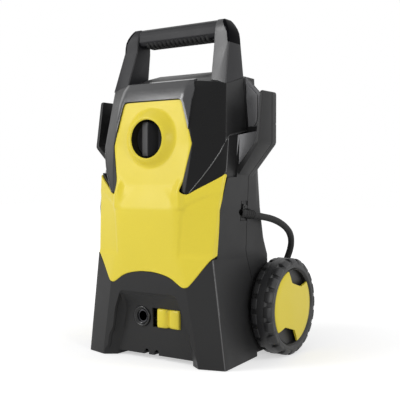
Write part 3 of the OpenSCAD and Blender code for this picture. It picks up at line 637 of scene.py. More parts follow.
@dataclass
class CasingForm:
    """The outer form of the casing: one rounded section at every height.

    Attributes:
        height: the roof's crest.
        front: place of the flat front face.
        back: place of the back face.
    """

    height: float = 407.0
    front: float = -113.0
    back: float = 78.0
    low_face: Table = (
        (0, 6.3), (110, 0.7), (144, 0), (214, -2), (232, -1.2), (247, 2.5), (262, 7.0), (302, 11.5),
    )
    high_face: Table = (
        (214, 3.6), (247, 6.5), (262, 7.8), (302, 11.5), (362, 14.6), (371, 18.5), (381, 23.5), (388, 30),
        (419, 45),
    )
    crease_x: Table = (
        (0, 85.2), (110, 65), (150, 56), (214, 58.5), (234, 62), (262, 66), (302, 69.4), (335, 62.6),
        (362, 54), (377, 52.5), (419, 51.9),
    )
    crease_set: Table = (
        (0, 6.3), (110, 1.4), (150, 1.6), (214, 1.2), (234, 3.2), (262, 7.2), (302, 12.5), (362, 14.8),
        (371, 18.7), (381, 23.7), (388, 30.2), (419, 45.2),
    )
    corner_x: Table = (
        (0, 120.5), (144, 101.5), (214, 106.7), (262, 111), (308, 107), (388, 99.1), (419, 97.5),
    )
    corner_set: Table = ((0, 16.5), (144, 15), (214, 23), (262, 31), (308, 37.5), (388, 50.5), (419, 54))
    flank_x: Table = (
        (0, 108.6), (144, 103.5), (214, 105.5), (262, 107), (308, 106.1), (388, 99.1), (419, 97.5),
    )
    hip_x: Table = ((0, 107), (144, 105), (214, 105), (262, 103.5), (308, 101.5), (388, 98.5), (419, 97))
    hip_y: Table = ((0, 45), (144, 40), (168, 28), (214, 18), (262, 15), (419, 14))
    back_x: Table = ((0, 86), (144, 80), (214, 70), (262, 64), (419, 60))
    back_set: Table = ((0, 0), (144, 0.5), (214, 5), (262, 14), (308, 22), (419, 31))
    gusset_x: Table = ((0, 120.5), (144, 101.5), (214, 105.5), (264, 108), (310, 105), (420, 97))
    gusset_set: Table = ((0, 16.5), (144, 15), (214, 24.5), (234, 30.6), (264, 37.6), (310, 47.7), (420, 54))

    def corners(self, z: float, sunk: bool) -> list[tuple[float, float, float]]:
        """The corners of half a section, from the front's middle to the back's.

        Args:
            z: height.
            sunk: whether the corner is the one that is set back under the cowl.

        Returns:
            Corners as (x, y, radius of the rounding).
        """
        face = self.front + lookup(self.low_face if z < 214 else self.high_face, z)
        corner_x, corner_set = (self.gusset_x, self.gusset_set) if sunk else (self.corner_x, self.corner_set)
        inset = 4.0 if sunk and z > 200 else 0.0
        return [
            (0.0, face, 0.0),
            (48.0, face, 10.0),
            (lookup(self.crease_x, z), self.front + lookup(self.crease_set, z), 6.0),
            (lookup(corner_x, z), self.front + lookup(corner_set, z), 3.2),
            (lookup(self.flank_x, z) - inset, 5.0, 30.0),
            (lookup(self.hip_x, z), lookup(self.hip_y, z), 14.0),
            (lookup(self.back_x, z), self.back - lookup(self.back_set, z), 12.0),
            (0.0, self.back - lookup(self.back_set, z), 0.0),
        ]

    def ring(self, z: float, depth: float = 0.0, sunk: bool = False) -> list[tuple[float, float, float]]:
        """One closed section.

        Args:
            z: height.
            depth: how far it is drawn in from the outer form; below zero it stands proud.
            sunk: see corners.

        Returns:
            The ring's points.
        """
        half = self.corners(z, sunk)
        turns = [c[2] for c in half[1:-1]]
        line = grown(mirrored([c[:2] for c in half[1:-1]]), -depth)[: len(turns)]
        line = [(0.0, line[0][1])] + line + [(0.0, line[-1][1])]
        pieces = (10, 3, 8, 8, 4, 4, 6)
        out: list[Vector] = []
        last = Vector(line[0])
        for i in range(1, len(line) - 1):
            here = Vector(line[i])
            before, after = Vector(line[i - 1]) - here, Vector(line[i + 1]) - here
            angle = max(before.angle(after), 0.3)
            size = max(0.3, turns[i - 1] - depth)
            reach = min(size / math.tan(angle / 2), before.length * 0.4, after.length * 0.4)
            start, end = here + before.normalized() * reach, here + after.normalized() * reach
            out += [last.lerp(start, k / pieces[i - 1]) for k in range(pieces[i - 1])]
            for t in (k / 5 for k in range(5)):
                out.append(start * (1 - t) ** 2 + here * 2 * t * (1 - t) + end * t * t)
            last = end
        out += [last.lerp(Vector(line[-1]), k / pieces[-1]) for k in range(pieces[-1] + 1)]
        right = [(p.x, p.y, z) for p in out]
        return right + [(-x, y, z) for x, y, z in reversed(right[1:-1])]

    def roof(self, x: float, y: float) -> float:
        """Height of the roof's surface.

        Args:
            x: place across.
            y: place from front to back.

        Returns:
            The height.
        """
        side = lookup(((0, 0), (56, 0), (64, 0.9), (84, 4.6), (121.5, 16.5)), abs(x))
        fall = max(0.0, -12 - y) * 0.268 + max(0.0, y - 14) * 0.25
        crown = 2.6 * ease((57 - abs(x)) / 5) * ease((y + 62) / 24) * ease((40 - y) / 24)
        return self.height - fall - side + crown

    def above_roof(self, drop: float = 0.0) -> Solid:
        """Everything above the roof, lowered by a drop.

        Args:
            drop: how far it is lowered.

        Returns:
            The solid.
        """
        half = (30, 52, 54.5, 57, 64, 72, 84, 103, 121, 150)
        xs = [-x for x in reversed(half)] + [0, *half]
        ys = [-160, -113, -90, -70, -62, -56, -50, -44, -38, -30, -18, -12]
        ys += [-6, 2, 14, 22, 28, 34, 40, 60, 90, 120]
        points = [(x, y, self.roof(x, y) - drop) for y in ys for x in xs]
        width, rows = len(xs), len(ys)
        faces = [
            [j * width + i, j * width + i + 1, (j + 1) * width + i + 1, (j + 1) * width + i]
            for j in range(rows - 1)
            for i in range(width - 1)
        ]
        top = len(points)
        rim = (
            list(range(width))
            + [j * width + width - 1 for j in range(1, rows)]
            + [(rows - 1) * width + i for i in range(width - 2, -1, -1)]
            + [j * width for j in range(rows - 2, 0, -1)]
        )
        points += [(points[k][0], points[k][1], 520.0) for k in rim]
        count = len(rim)
        faces += [[rim[k], rim[(k + 1) % count], top + (k + 1) % count, top + k] for k in range(count)]
        faces.append([top + k for k in range(count)])
        return Solid.from_faces(points, faces)

    def body(self, depth: float = 0.0, sunk: bool = False, bottom: float = 0.6, step: float = 6.0) -> Solid:
        """The casing's outer form, drawn in by a depth, under the roof.

        Args:
            depth: how far the form is drawn in.
            sunk: see corners.
            bottom: height of the lowest section.
            step: height between two sections.

        Returns:
            The solid.
        """
        keys = {bottom, 110, 144, 214, 234, 262, 302, 308, 362, 371, 381, 388, 419.0}
        count = int(419 / step)
        heights = sorted(keys | {round(bottom + k * (419 - bottom) / count, 2) for k in range(count + 1)})
        later = heights[1:] + [math.inf]
        heights = [h for h, after in zip(heights, later) if after - h > 0.8 and h >= bottom]
        rings = [self.ring(z, depth, sunk) for z in heights]
        return Solid.loft(rings) - self.above_roof(depth)


# ---------- casing pieces


@dataclass
class Casing:
    """The two black casing halves, made from the casing's form.

    Attributes:
        form: the outer form that every piece is cut from.
        wall: thickness of the walls.
        gap: air between pieces.
        floor: height where the hollow inside starts.
        knob_well: radius of the well that the knob lies in.
        knob_shaft: radius of the hole for the knob's stem.
        outlet_hole: radius of the hole for the outlet's collar.
        tube_hole: radius of the holes for the handle's tubes.
        axle_hole: radius of the axle's bore.
        screw_hole: radius of the screws' holes.
        screws: places of the screws on the right, across and up.
        inlet_hole: radius of the hole for the water inlet.
        inlet: place of the water inlet, across and up.
        vent: half the width and half the height of a vent.
    """

    form: CasingForm = field(default_factory=CasingForm)
    wall: float = 3.2
    gap: float = 0.3
    floor: float = 9.8
    knob_well: float = 27.6
    knob_shaft: float = 5.5
    outlet_hole: float = 14.8
    tube_hole: float = 11.7
    axle_hole: float = 5.05
    screw_hole: float = 5.0
    screws: Line = ((80.5, 30), (60, 185), (50, 345))
    inlet_hole: float = 13.0
    inlet: Point2 = (24.0, 46.0)
    vent: Point2 = (38.3, 2.3)

    def panel_outline(self, more: float = 0.0) -> list[Point2]:
        """The yellow panel's outline seen from the front, grown by a little.

        Args:
            more: how far it is grown.

        Returns:
            Corners as (x, z).
        """
        half = [
            (45, 363.2, 2.0), (49.2, 361.5, 3.0), (51.6, 357.5, 6.0), (68.6, 302, 3.0), (56.2, 242, 1.5),
            (57.2, 237.0, 1.5), (66.0, 234, 4.0), (112.5, 262.5, 0.0), (141.5, 276, 0.0), (141.5, 161, 0.0),
            (103.5, 149, 3.0), (93.5, 140.5, 6.0), (68.9, 109.5, 3.0), (63.9, 107.5, 3.0), (58.9, 108.5, 4.0),
            (53, 112.2, 5.0), (42, 118.9, 10.0), (28.4, 123.4, 12.0), (10, 126.2, 8.0),
        ]
        line = rounded(half + [(-x, z, r) for x, z, r in reversed(half)], steps=4)
        return grown(line, more) if more else line

    def hood_outline(self, more: float = 0.0) -> list[Point2]:
        """The console frame's outline seen from the front."""
        line = mirrored([(51.5, 407.0), (63.3, 378.0), (63.7, 336.0), (63.0, 320.0)])
        return grown(line, more) if more else line

    def reach(self, more: float = 0.0) -> Solid:
        """Where the panel wraps round the corners and stops on the sides.

        Args:
            more: how far it is grown.

        Returns:
            The solid.
        """
        return Solid.prism(
            [
                (-160, 60), (-89.5 + more, 60), (-89.5 + more, 152), (-88.5 + more, 213),
                (-76.5 + more, 264 + more), (-70 + more, 270), (-70 + more, 430), (-160, 430),
            ],
            -FAR, FAR, "x",
        )

    def behind(self, shift: float = 0.0) -> Solid:
        """Everything behind the parting line between the halves."""
        line = [(-18, 520), (-18, 154), (-2.5, 110), (13.5, 3), (13.5, -20)]
        return Solid.prism([(y + shift, z) for y, z in line] + [(160, -20), (160, 520)], -FAR, FAR, "x")

    def recess(self, deeper: float = 0.0) -> Solid:
        """The recess low in the front, with its cove and its leaning sides.

        Args:
            deeper: how much further back it reaches.

        Returns:
            The solid.
        """
        rings = []
        for z, back, width, spread in (
            (-4, 0, 66, 19.5), (6.6, 0, 66, 18), (30, 0, 61, 11.5), (58.8, 0, 55, 5.8), (69, -0.7, 52.9, 5.8),
            (74, -2.2, 51.9, 5.7), (79, -4.8, 51.0, 5.5), (84, -8.3, 50.4, 5.2), (90, -12.8, 49.4, 5),
            (96, -17.3, 47.8, 4.6), (100, -20.5, 45.5, 4.2), (103, -24, 42, 4),
        ):
            y, out = RECESS_Y + deeper + back, -126.0
            wide = width + spread * (y - out) / 14
            rings.append([(wide, out, z), (width + 1.2, y - 2.2, z), (width - 1.6, y, z),
                          (-width + 1.6, y, z), (-width - 1.2, y - 2.2, z), (-wide, out, z)])
        return Solid.loft(rings)

    def foot_space(self) -> Solid:
        """The space under the raised bottom, between the feet."""
        middle = Solid.box((-67, -FAR, -20), (67, FAR, 6.6))
        return middle | Solid.box((-FAR, 5, -20), (FAR, FAR, 6.6))

    def outer(self, depth: float = 0.0) -> Solid:
        """The casing's form with its proud cowl over the set-back lower corners.

        Args:
            depth: how far the form is drawn in.

        Returns:
            The solid.
        """
        whole = self.form.body(depth)
        sunk = self.form.body(depth, sunk=True)
        cowl = Solid.prism(
            [(-200, 700), (-200, 231), (-108.5, 231), (-74, 308), (-66, 313), (-53, 315.5), (-18, 322),
             (-15, 326), (-15, 700)],
            -FAR, FAR, "x",
        )
        middle = Solid.box((-66, -FAR, -30), (66, FAR, 700))
        rest = Solid.prism(
            [(-200, -30), (-200, 214), (-92, 214), (-84, 236), (-76, 256), (-52, 257), (-40, 314),
             (-15, 322), (-15, 700), (200, 700), (200, -30)],
            -FAR, FAR, "x",
        )
        return sunk | (whole & (cowl | middle | rest))

    def cowl_line(self) -> list[tuple[float, float, float]]:
        """Points along the cowl's lower edge on the right, front to back.

        Returns:
            Points of the casing's form.
        """
        line = []
        for y, z in ((-106.5, 235.5), (-98, 254.4), (-90, 272.3), (-82, 290.1), (-74.5, 306.9), (-66, 313),
                     (-53, 315.5), (-36, 318.6), (-19.5, 321.7)):
            crease, corner, flank = self.form.corners(z, False)[2:5]
            a, b = (crease, corner) if y < corner[1] else (corner, flank)
            share = (y - a[1]) / (b[1] - a[1])
            line.append((a[0] + (b[0] - a[0]) * share, y, z))
        return line

    def bead(self) -> Solid:
        """The rounded bead along the cowl's lower edge.

        Returns:
            The bead on both sides.
        """
        beads = None
        line = self.cowl_line()
        for part, flat in ((line[:5], True), (line[4:], False)):
            rings = []
            for x, y, z in part:
                middle = x - 0.35
                rings.append([
                    (middle + u, y + v, z) if flat else (middle + u, y, z + v) for u, v in circle(0.95, 14)
                ])
            piece = Solid.loft(rings)
            beads = piece if beads is None else beads | piece
        return beads | beads.flipped()

    def arm(self, inset: float = 0.0) -> Solid:
        """The right holder arm: its plate and strut, the web and the pocket's floor.

        Args:
            inset: how far the plate's faces are drawn in, for the groove at the parting line.

        Returns:
            The solid.
        """
        strut = rounded(
            [(ARM_X, 374, 3.0), (ARM_X, 303, 9.0), (101.5, 251, 4.0), (94, 251), (94, 256),
             (140.4, 305.5, 7.0), (140.4, 374, 1.5)],
            steps=4,
        )
        side = rounded(
            [(-42.6, 374.4, 5.0), (-54.3, 303, 12.0), (-43.5, 240), (-6.5, 240), (-6.5, 374.4, 5.0)], steps=4,
        )
        if inset:
            strut, side = grown(strut, -inset), grown(side, -inset)
        plate = Solid.prism(strut, -54.5, -6.5, "y") & Solid.prism(side, 90, 150, "x")
        plate = plate.eased(0.0 if inset else 0.9, 40)
        if inset:
            return plate
        web = Solid.plate(
            [(94, 399), (99.5, 397.5, 3.0), (119.5, 376.8, 5.0), (144, 352, 4.0), (144, 301), (94, 258)],
            -12.1, -7.5,
        ).eased(0.8, 40)
        frame_web = Solid.plate(
            [(100.5, 390, 2.0), (118.6, 371.8, 3.0), (118.6, 336, 6.0), (112.5, 327, 8.0), (100.5, 327, 8.0)],
            -13.3, -10.5, steps=5,
        ).eased(0.6, 40)
        floor = Solid.plate(
            [(-8.5, 329, 2.0), (-13.5, 329, 2.0), (-49.5, 262, 3.0), (-49.5, 250), (-8.5, 250)],
            94, 143.8, "x", 3,
        ) & Solid.prism([(94, 251.5), (97, 251.5), (143.8, 303.5), (143.8, 420), (94, 420)], -100, 100, "y")
        cheek = Solid.loft([
            [(98, -53, 250), (106.5, -51.5, 250), (141, -24, 250), (141, -8, 250), (98, -8, 250)],
            [(98, -42.2, 314), (104.4, -41.6, 314), (141, -12.6, 314), (141, -8, 314), (98, -8, 314)],
            [(98, -40.5, 327), (104, -40, 327), (141, -11, 327), (141, -8, 327), (98, -8, 327)],
        ]) & Solid.prism([(94, 251.5), (97, 251.5), (143.8, 303.5), (143.8, 326), (98, 313)], -100, 100, "y")
        return plate | web | frame_web | floor | cheek

    def covered(self, more: float) -> Solid:
        """The space that the panel and the console frame take, grown by a little.

        Args:
            more: how far it is grown.

        Returns:
            The solid.
        """
        outlines = (self.panel_outline(more), self.hood_outline(more))
        panel, frame_zone = (Solid.prism(line, -FAR, 0, "y") for line in outlines)
        return (panel | frame_zone) & self.reach(more)

    def hull(self) -> Solid:
        """Both casing halves as one hollow piece, with the arms on it.

        Returns:
            The solid.
        """
        arm = self.arm()
        whole = self.outer() | arm | arm.flipped()
        proud, sunk = (self.form.body(self.wall, state, self.floor) for state in (False, True))
        for x in (side * ARM_X for side in SIDES):
            whole = whole - Solid.box((x - 0.6, -17.4, 329.7), (x + 0.6, -5, 330.7))
        return whole.cut(proud & sunk, self.recess(), self.foot_space())

    def groove(self) -> Solid:
        """The shallow groove along the parting line, on the outside only.

        Returns:
            The solid.
        """
        core = self.outer(0.8)
        arm = self.arm(0.8)
        return (self.behind(-0.75) - self.behind(0.0)) - (core | arm | arm.flipped())

    def relief(self) -> Solid:
        """The channel that the cord's strain relief lies in.

        Returns:
            The solid.
        """
        low, high = Vector((99.4, -37, 209)), Vector((109, -8, 204.3))
        way = (high - low).normalized()
        side = way.cross(Vector((0, 0, 1))).normalized()
        lift = side.cross(way)
        rings = []
        for place, radius in ((-4, 7.5), ((high - low).length + 8, 7.0)):
            middle = low + way * place
            rings.append([middle + radius * (u * side + v * lift) for u, v in circle(1.0, 40)])
        return Solid.loft(rings)

    def cord_guard(self) -> list[Mesh]:
        """The tapered guard around the cord where it leaves the casing, with its rings.

        Returns:
            The sleeve and its rings.
        """
        low, high = Vector((101.8, -30.8, 207.5)), Vector((109, -8, 204.3))
        way = (high - low).normalized()
        turn = Vector((0, 0, 1)).rotation_difference(way).to_matrix().to_4x4()
        turn.translation = low
        span = (high - low).length + 5.0
        sleeve = Solid.turned(
            [(4.81, 0), (5.9, 0), (6.3, 0.6), (6.3, 6.0), (5.75, 7.0), (5.35, span - 0.8), (5.1, span),
             (4.81, span)],
            "z", (0, 0, 0), 40,
        ).mesh
        ring = Solid.turned([(5.2, -0.9), (6.0, -0.7), (6.2, 0), (6.0, 0.7), (5.2, 0.9)], "z", (0, 0, 0), 32)
        rings = Pattern("guard_rings", False).run(ring.mesh, 5, (0, 0, 3.6), (0, 0, 9.5), CORD_RUBBER)
        for mesh in (sleeve, rings):
            mesh.transform(turn)
        return [sleeve, rings]

    def front(self, hull: Solid) -> Solid:
        """The front half, with the seats of the panel, the knob and the outlet.

        Args:
            hull: both halves as one piece.

        Returns:
            The solid.
        """
        knob, under_panel = (0, 0, KNOB_Z), PANEL_THICK + self.gap
        seat = self.covered(self.gap) - self.form.body(under_panel)
        whole = hull.cut(self.behind(), self.groove(), seat)
        backing = self.form.body(under_panel) - self.form.body(under_panel + self.wall, bottom=self.floor)
        before = Solid.box((-FAR, -FAR, -30), (FAR, FAR, 500)) - self.behind()
        backing = backing & self.covered(3.3) & before
        whole = whole | backing.cut(self.recess(), self.foot_space())
        whole = whole | ((self.recess(self.wall) & self.form.body(3.7, bottom=6.6)) - self.recess())
        whole = whole | (bar("y", 31.3, -100, -92.6, knob) & self.form.body(under_panel))
        whole = whole.cut(
            bar("y", self.knob_well, -130, KNOB_SEAT_Y, knob), bar("y", self.knob_shaft, -130, 0, knob),
            bar("y", self.outlet_hole, -130, -70, (OUTLET[0], 0, OUTLET[1])),
            Solid.box((-4, -130, 46.4), (44.9, -72, 73.6)).eased(1.2, 40),
        )
        for x in (-15.0, 2.5):
            slot = [(x - 4.2, -9), (x + 4.2, -9), (x + 4.2, 14, 4.0), (x - 4.2, 14, 4.0)]
            whole = whole - Solid.plate(slot, -130, -60, steps=5)
        for side in SIDES:
            whole = whole.cut(
                bar("z", self.tube_hole, 367, 427, (side * TUBE_AT[0], TUBE_AT[1], 0)),
                Solid.box((side * 99.5 - 10.3, -90.3, -5), (side * 99.5 + 10.3, -19.7, 4.3)),
            )
        whole = whole - Solid.box((91.5, -36, 196), (125, 4, 224))
        cheek = Solid.box((94, -32.4, 195.6), (125, -17.6, 224.4)) & self.form.body(1.4)
        ear = Solid.plate([(-31.6, 211), (-31.6, 220.5, 2.5), (-21, 217.5, 2.0), (-21, 211)], 96, 125, "x")
        for part in (cheek, ear & self.form.body(-1.3)):
            whole = whole | (part - self.behind())
        return whole.cut(self.relief(), bar("x", 1.3, 90, 140, (0, -28.2, 215.6), 20))

    def rear(self, hull: Solid) -> Solid:
        """The rear half, with the axle's bosses, the vents and the openings at the back.

        Args:
            hull: both halves as one piece.

        Returns:
            The solid.
        """
        whole, axle = hull & self.behind(self.gap), (0, *AXLE)
        boss = Solid.turned([(0, 96), (17.5, 96), (17.5, 107), (15, 110), (15, 111.4), (0, 111.4)], "x", axle)
        for part in (boss.flipped(), boss):
            whole = whole | (part - self.form.body(0.4, bottom=7.0))
        whole = whole - bar("x", self.axle_hole, -160, 160, axle)
        for x, z in self.screws:
            whole = whole.cut(*(bar("y", self.screw_hole, 8, 90, (side * x, 0, z), 32) for side in SIDES))
        wide, high = self.vent
        for z in range(218, 298, 10):
            corners = ((-wide, z - high), (wide, z - high), (wide, z + high), (-wide, z + high))
            whole = whole - Solid.plate([(*corner, high - 0.1) for corner in corners], 38, 98, steps=5)
        inlet = bar("y", self.inlet_hole, 40, 100, (self.inlet[0], 0, self.inlet[1]))
        return whole.cut(inlet, self.relief())

    def hood(self) -> Solid:
        """The console frame: a rounded brow over the panel with a limb down each side.

        Returns:
            The solid.
        """
        shell = self.form.body(-2.0, step=2.5) - self.form.body(2.4, step=2.5)
        zone = Solid.prism(rounded(self.hood_outline(), 1.5, 3), -FAR, -73, "y")
        brow = shell & (zone - Solid.prism(self.panel_outline(self.gap), -FAR, 0, "y"))
        return brow.eased(0.7, 40)


def bar(axis: str, radius: float, low: float, high: float, at: Numbers, count: int = 64) -> Solid:
    """A round bar along an axis, as a tool for cutting and joining."""
    return Solid.turned([(0, low), (radius, low), (radius, high), (0, high)], axis, at, count)


# ---------- yellow front panel


@dataclass
class FrontPanel:
    """The yellow panel: one moulded skin that wraps the casing's front corners.

    Attributes:
        casing: the casing that it covers.
        pitch: distance between the points of its mesh.
        rim: radius of its rounded rim.
        hole: radius of the knob's hole.
        foot: radius of the foot of the cone around the knob.
        rise: place of the cone's rim, from front to back.
    """

    casing: Casing
    pitch: float = 2.2
    rim: float = 0.8
    hole: float = 26.8
    foot: float = 42.0
    rise: float = -113.8

    def _section(self, z: float) -> list[Point2]:
        """The corners of the section at a height, from the middle to the side face.

        Args:
            z: height.

        Returns:
            Corners as (x, y).
        """
        line = [c[:2] for c in self.casing.form.corners(z, False)[:5]]
        line[1] = (min(line[1][0], line[2][0] - 2), line[1][1])
        return line

    def side(self, s: float, z: float) -> Point2:
        """A point of the section at a distance from the middle, before it is softened.

        Args:
            s: distance from the middle, measured along the section.
            z: height.

        Returns:
            The point as (x, y).
        """
        line, left = self._section(z), abs(s)
        for a, b in zip(line, line[1:]):
            run = math.hypot(b[0] - a[0], b[1] - a[1])
            if left <= run or b == line[-1]:
                t = left / run
                return (math.copysign(a[0] + (b[0] - a[0]) * t, s), a[1] + (b[1] - a[1]) * t)
            left -= run
        return line[-1]

    def along(self, reach: float, z: float, on_side: bool) -> float:
        """Distance along the section to a place.

        Args:
            reach: the place's x, or its y where it lies on the side face.
            z: height.
            on_side: whether reach is a y on the side face.

        Returns:
            The distance from the middle.
        """
        line, total = self._section(z), 0.0
        for i, (a, b) in enumerate(zip(line, line[1:])):
            run = math.hypot(b[0] - a[0], b[1] - a[1])
            if on_side and i == 3:
                return total + run * (reach - a[1]) / (b[1] - a[1])
            if not on_side and reach <= b[0]:
                return total + run * (reach - a[0]) / (b[0] - a[0])
            total += run
        return total

    def face(self, x: float, z: float) -> float:
        """How far the moulded face stands off the plain section, below zero towards the front.

        Args:
            x: place across.
            z: height.

        Returns:
            The offset along Y.
        """
        form = self.casing.form
        across = abs(x)
        plain = lookup(form.low_face if z < 214 else form.high_face, z)
        low = lookup(((0, 6.3), (110, 0.7), (144, 0), (214, -2.0), (262, -2.9)), z)
        high = lookup(form.high_face, z)
        out = self._box(across, z, 53.5, 211.5, 14.0)
        inner = self._box(across, z, 47.5, 245.0, 9.0)
        share = out / (out - inner) if out < 0 < inner else float(out < 0)
        fade = 1 - ease((z - 232) / 26)
        target = low + (high - low) * share
        moulded = high + (target - high) * (fade if across > 40 else 1.0)
        edge = ((120, 52), (150, 53), (170, 54), (208, 57.3), (214, 59.5), (220, 65), (229, 82.7), (240, 108))
        wing = lookup(edge, z)
        step = 1.2 * ease((across - wing) / 2.2) * ease((z - 146) / 8) * (1 - ease((z - 226) / 12))
        return (moulded - plain) * (1 - ease((across - 52) / 12)) + step

    def _box(self, x: float, z: float, half: float, low: float, radius: float) -> float:
        """Distance to an upright box that is open above; below zero inside.

        Args:
            x: place across.
            z: height.
            half: half the box's width.
            low: the box's foot.
            radius: radius of its lower corners.

        Returns:
            The distance.
        """
        dx, dz = x - (half - radius), (low + radius) - z
        if dx > 0 and dz > 0:
            return math.hypot(dx, dz) - radius
        return max(dx, dz) - radius

    def surface(self, s: float, z: float) -> Vector:
        """The moulded outer surface, softened over its creases.

        Args:
            s: distance from the middle along the section.
            z: height.

        Returns:
            The point.
        """
        soft = 4.0 if z < 214 or abs(s) > 85 else 6.0
        x = y = 0.0
        for k in (-1.0, -0.5, 0.0, 0.5, 1.0):
            px, py = self.side(s + k * soft, z)
            x, y = x + px / 5, y + py / 5
        y += self.face(x, z)
        far = math.hypot(x, z - KNOB_Z)
        if far < self.foot + 6:
            share = (far - self.hole - 2.2) / (self.foot - self.hole - 2.2)
            cone = self.rise + max(0.0, share) ** 1.08 * 13.4
            lip = max(0.0, self.hole + 2.6 - far)
            cone += lip * lip * 0.22
            cone += self._mark(x, z, 90.0, 0.8, far) * 0.9 - self._mark(x, z, 46.0, 1.1, far) * 0.5
            blend = max(0.0, 2.4 - abs(cone - y)) / 2.4
            y = min(cone, y) - blend * blend * 0.6
        return Vector((x, max(y, FRONT_LIMIT_Y), z))

    def _mark(self, x: float, z: float, turn: float, half: float, far: float) -> float:
        """One where a setting mark lies on the cone, zero away from it.

        Args:
            x: place across.
            z: height.
            turn: the mark's place round the knob, in degrees.
            half: half the mark's width.
            far: distance from the knob's middle.

        Returns:
            The share.
        """
        angle = math.radians(turn)
        off = abs(x * math.sin(angle) - (z - KNOB_Z) * math.cos(angle))
        ahead = x * math.cos(angle) + (z - KNOB_Z) * math.sin(angle) > 0
        inside_ring = self.hole - 1 < far < self.hole + 5.5
        return 1 - ease((off - half * 0.5) / half) if ahead and inside_ring else 0.0

    def outline(self) -> list[Point2]:
        """The panel's border as (distance along the section, height).

        Returns:
            The closed border.
        """
        front = [
            (0, 126.4), (10, 126.2), (28.4, 123.4), (42, 118.9), (52.6, 112.3), (59.2, 108.3), (64.2, 107.8),
            (68.6, 109.2), (76.4, 118.3), (84.5, 129.3), (93.7, 141.3), (98.6, 146.6),
        ]
        line = [(self.along(x, z, False), z) for x, z in front]
        sides = [
            (-89.5, 152.2), (-89.3, 156), (-89, 185), (-88.6, 213), (-84, 236), (-79.4, 256), (-78.4, 259.6),
        ]
        line += [(self.along(y, z, True), z) for y, z in sides]
        top = [
            (110.4, 260.6), (106.8, 258.2), (98, 252.6), (88.3, 246.8), (76, 239.6), (68.5, 234.9),
            (65.2, 233.4), (61.5, 233.9), (57.8, 236.2), (56.3, 239.2), (56.6, 243), (61.8, 269.9),
            (68.0, 297.5), (68.5, 300.7), (68.0, 304), (60.5, 330.2), (53, 356.4), (51.4, 359.8),
            (48.4, 361.6), (44, 362.2), (20, 362.4), (0, 362.4),
        ]
        line += [(self.along(x, z, False), z) for x, z in top]
        half = self._spread(line)
        return half[:-1] + [(-s, z) for s, z in reversed(half)][:-1]

    def _spread(self, line: Line) -> list[Point2]:
        """Points a pitch apart along a smooth line through the border's points.

        Args:
            line: the border's points.

        Returns:
            The points.
        """
        out: list[Point2] = []
        for i in range(len(line) - 1):
            a, b, c, d = (Vector(line[min(max(i + k, 0), len(line) - 1)]) for k in (-1, 0, 1, 2))
            run = (c - b).length
            before, after = (v * (run / max(v.length, 1e-6)) for v in (c - a, d - b))
            count = max(1, round(run / self.pitch))
            for k in range(count):
                t = k / count
                p = (
                    b * (2 * t**3 - 3 * t**2 + 1) + before * (t**3 - 2 * t**2 + t)
                    + c * (3 * t**2 - 2 * t**3) + after * (t**3 - t**2)
                )
                out.append((p.x, p.y))
        return out + [tuple(line[-1])]

    def hole_ring(self, radius: float, count: int = 96) -> list[Point2]:
        """A ring around the knob as (distance along the section, height)."""
        ring = [(x, KNOB_Z + z) for x, z in circle(radius, count)]
        return [(math.copysign(self.along(abs(x), z, False), x), z) for x, z in ring]

    def build(self) -> Mesh:
        """Make the panel's closed mesh.

        Returns:
            The mesh, in millimetres.
        """
        border = self.outline()
        insets = [grown(border, -0.3), grown(border, -self.rim)]
        holes = [self.hole_ring(self.hole + r) for r in (0.0, 0.5, 1.6, 3.0, 6.0, 9.5, 12.5, 14.8, 16.5)]
        points = [Vector(p) for ring in [border] + insets + holes for p in ring]
        edges = []
        start = 0
        for ring in [border] + insets + holes[:1]:
            edges += [(start + k, start + (k + 1) % len(ring)) for k in range(len(ring))]
            start += len(ring)
        loose = self._grid(insets[-1], [p for ring in [insets[-1]] + holes for p in ring])
        points += loose
        verts, _, faces, *_ = delaunay_2d_cdt(points, edges, [], 0, 1e-4)
        centre = Vector((0.0, KNOB_Z))
        kept = []
        for face in faces:
            mid = sum((verts[i] for i in face), Vector((0.0, 0.0))) / len(face)
            if (mid - centre).length > self.hole - 0.15 and inside(border, mid):
                kept.append(face)
        return self._thicken(verts, kept, border, insets)

    def _grid(self, edge: Line, near: Line) -> list[Vector]:
        """Loose points inside the border, clear of the points that are fixed.

        Args:
            edge: the border.
            near: the fixed points.

        Returns:
            The loose points.
        """
        tree, out = nearby(near), []
        rows = int(265 / self.pitch)
        for j in range(rows):
            z = 104 + j * self.pitch
            shift = 0.5 * self.pitch * (j % 2)
            for i in range(-70, 71):
                spot = Vector((i * self.pitch + shift, z))
                if not inside(edge, spot):
                    continue
                if (spot - Vector((0.0, KNOB_Z))).length < self.hole + 17:
                    continue
                if tree.find((spot.x, spot.y, 0.0))[2] > self.pitch * 0.55:
                    out.append(spot)
        return out

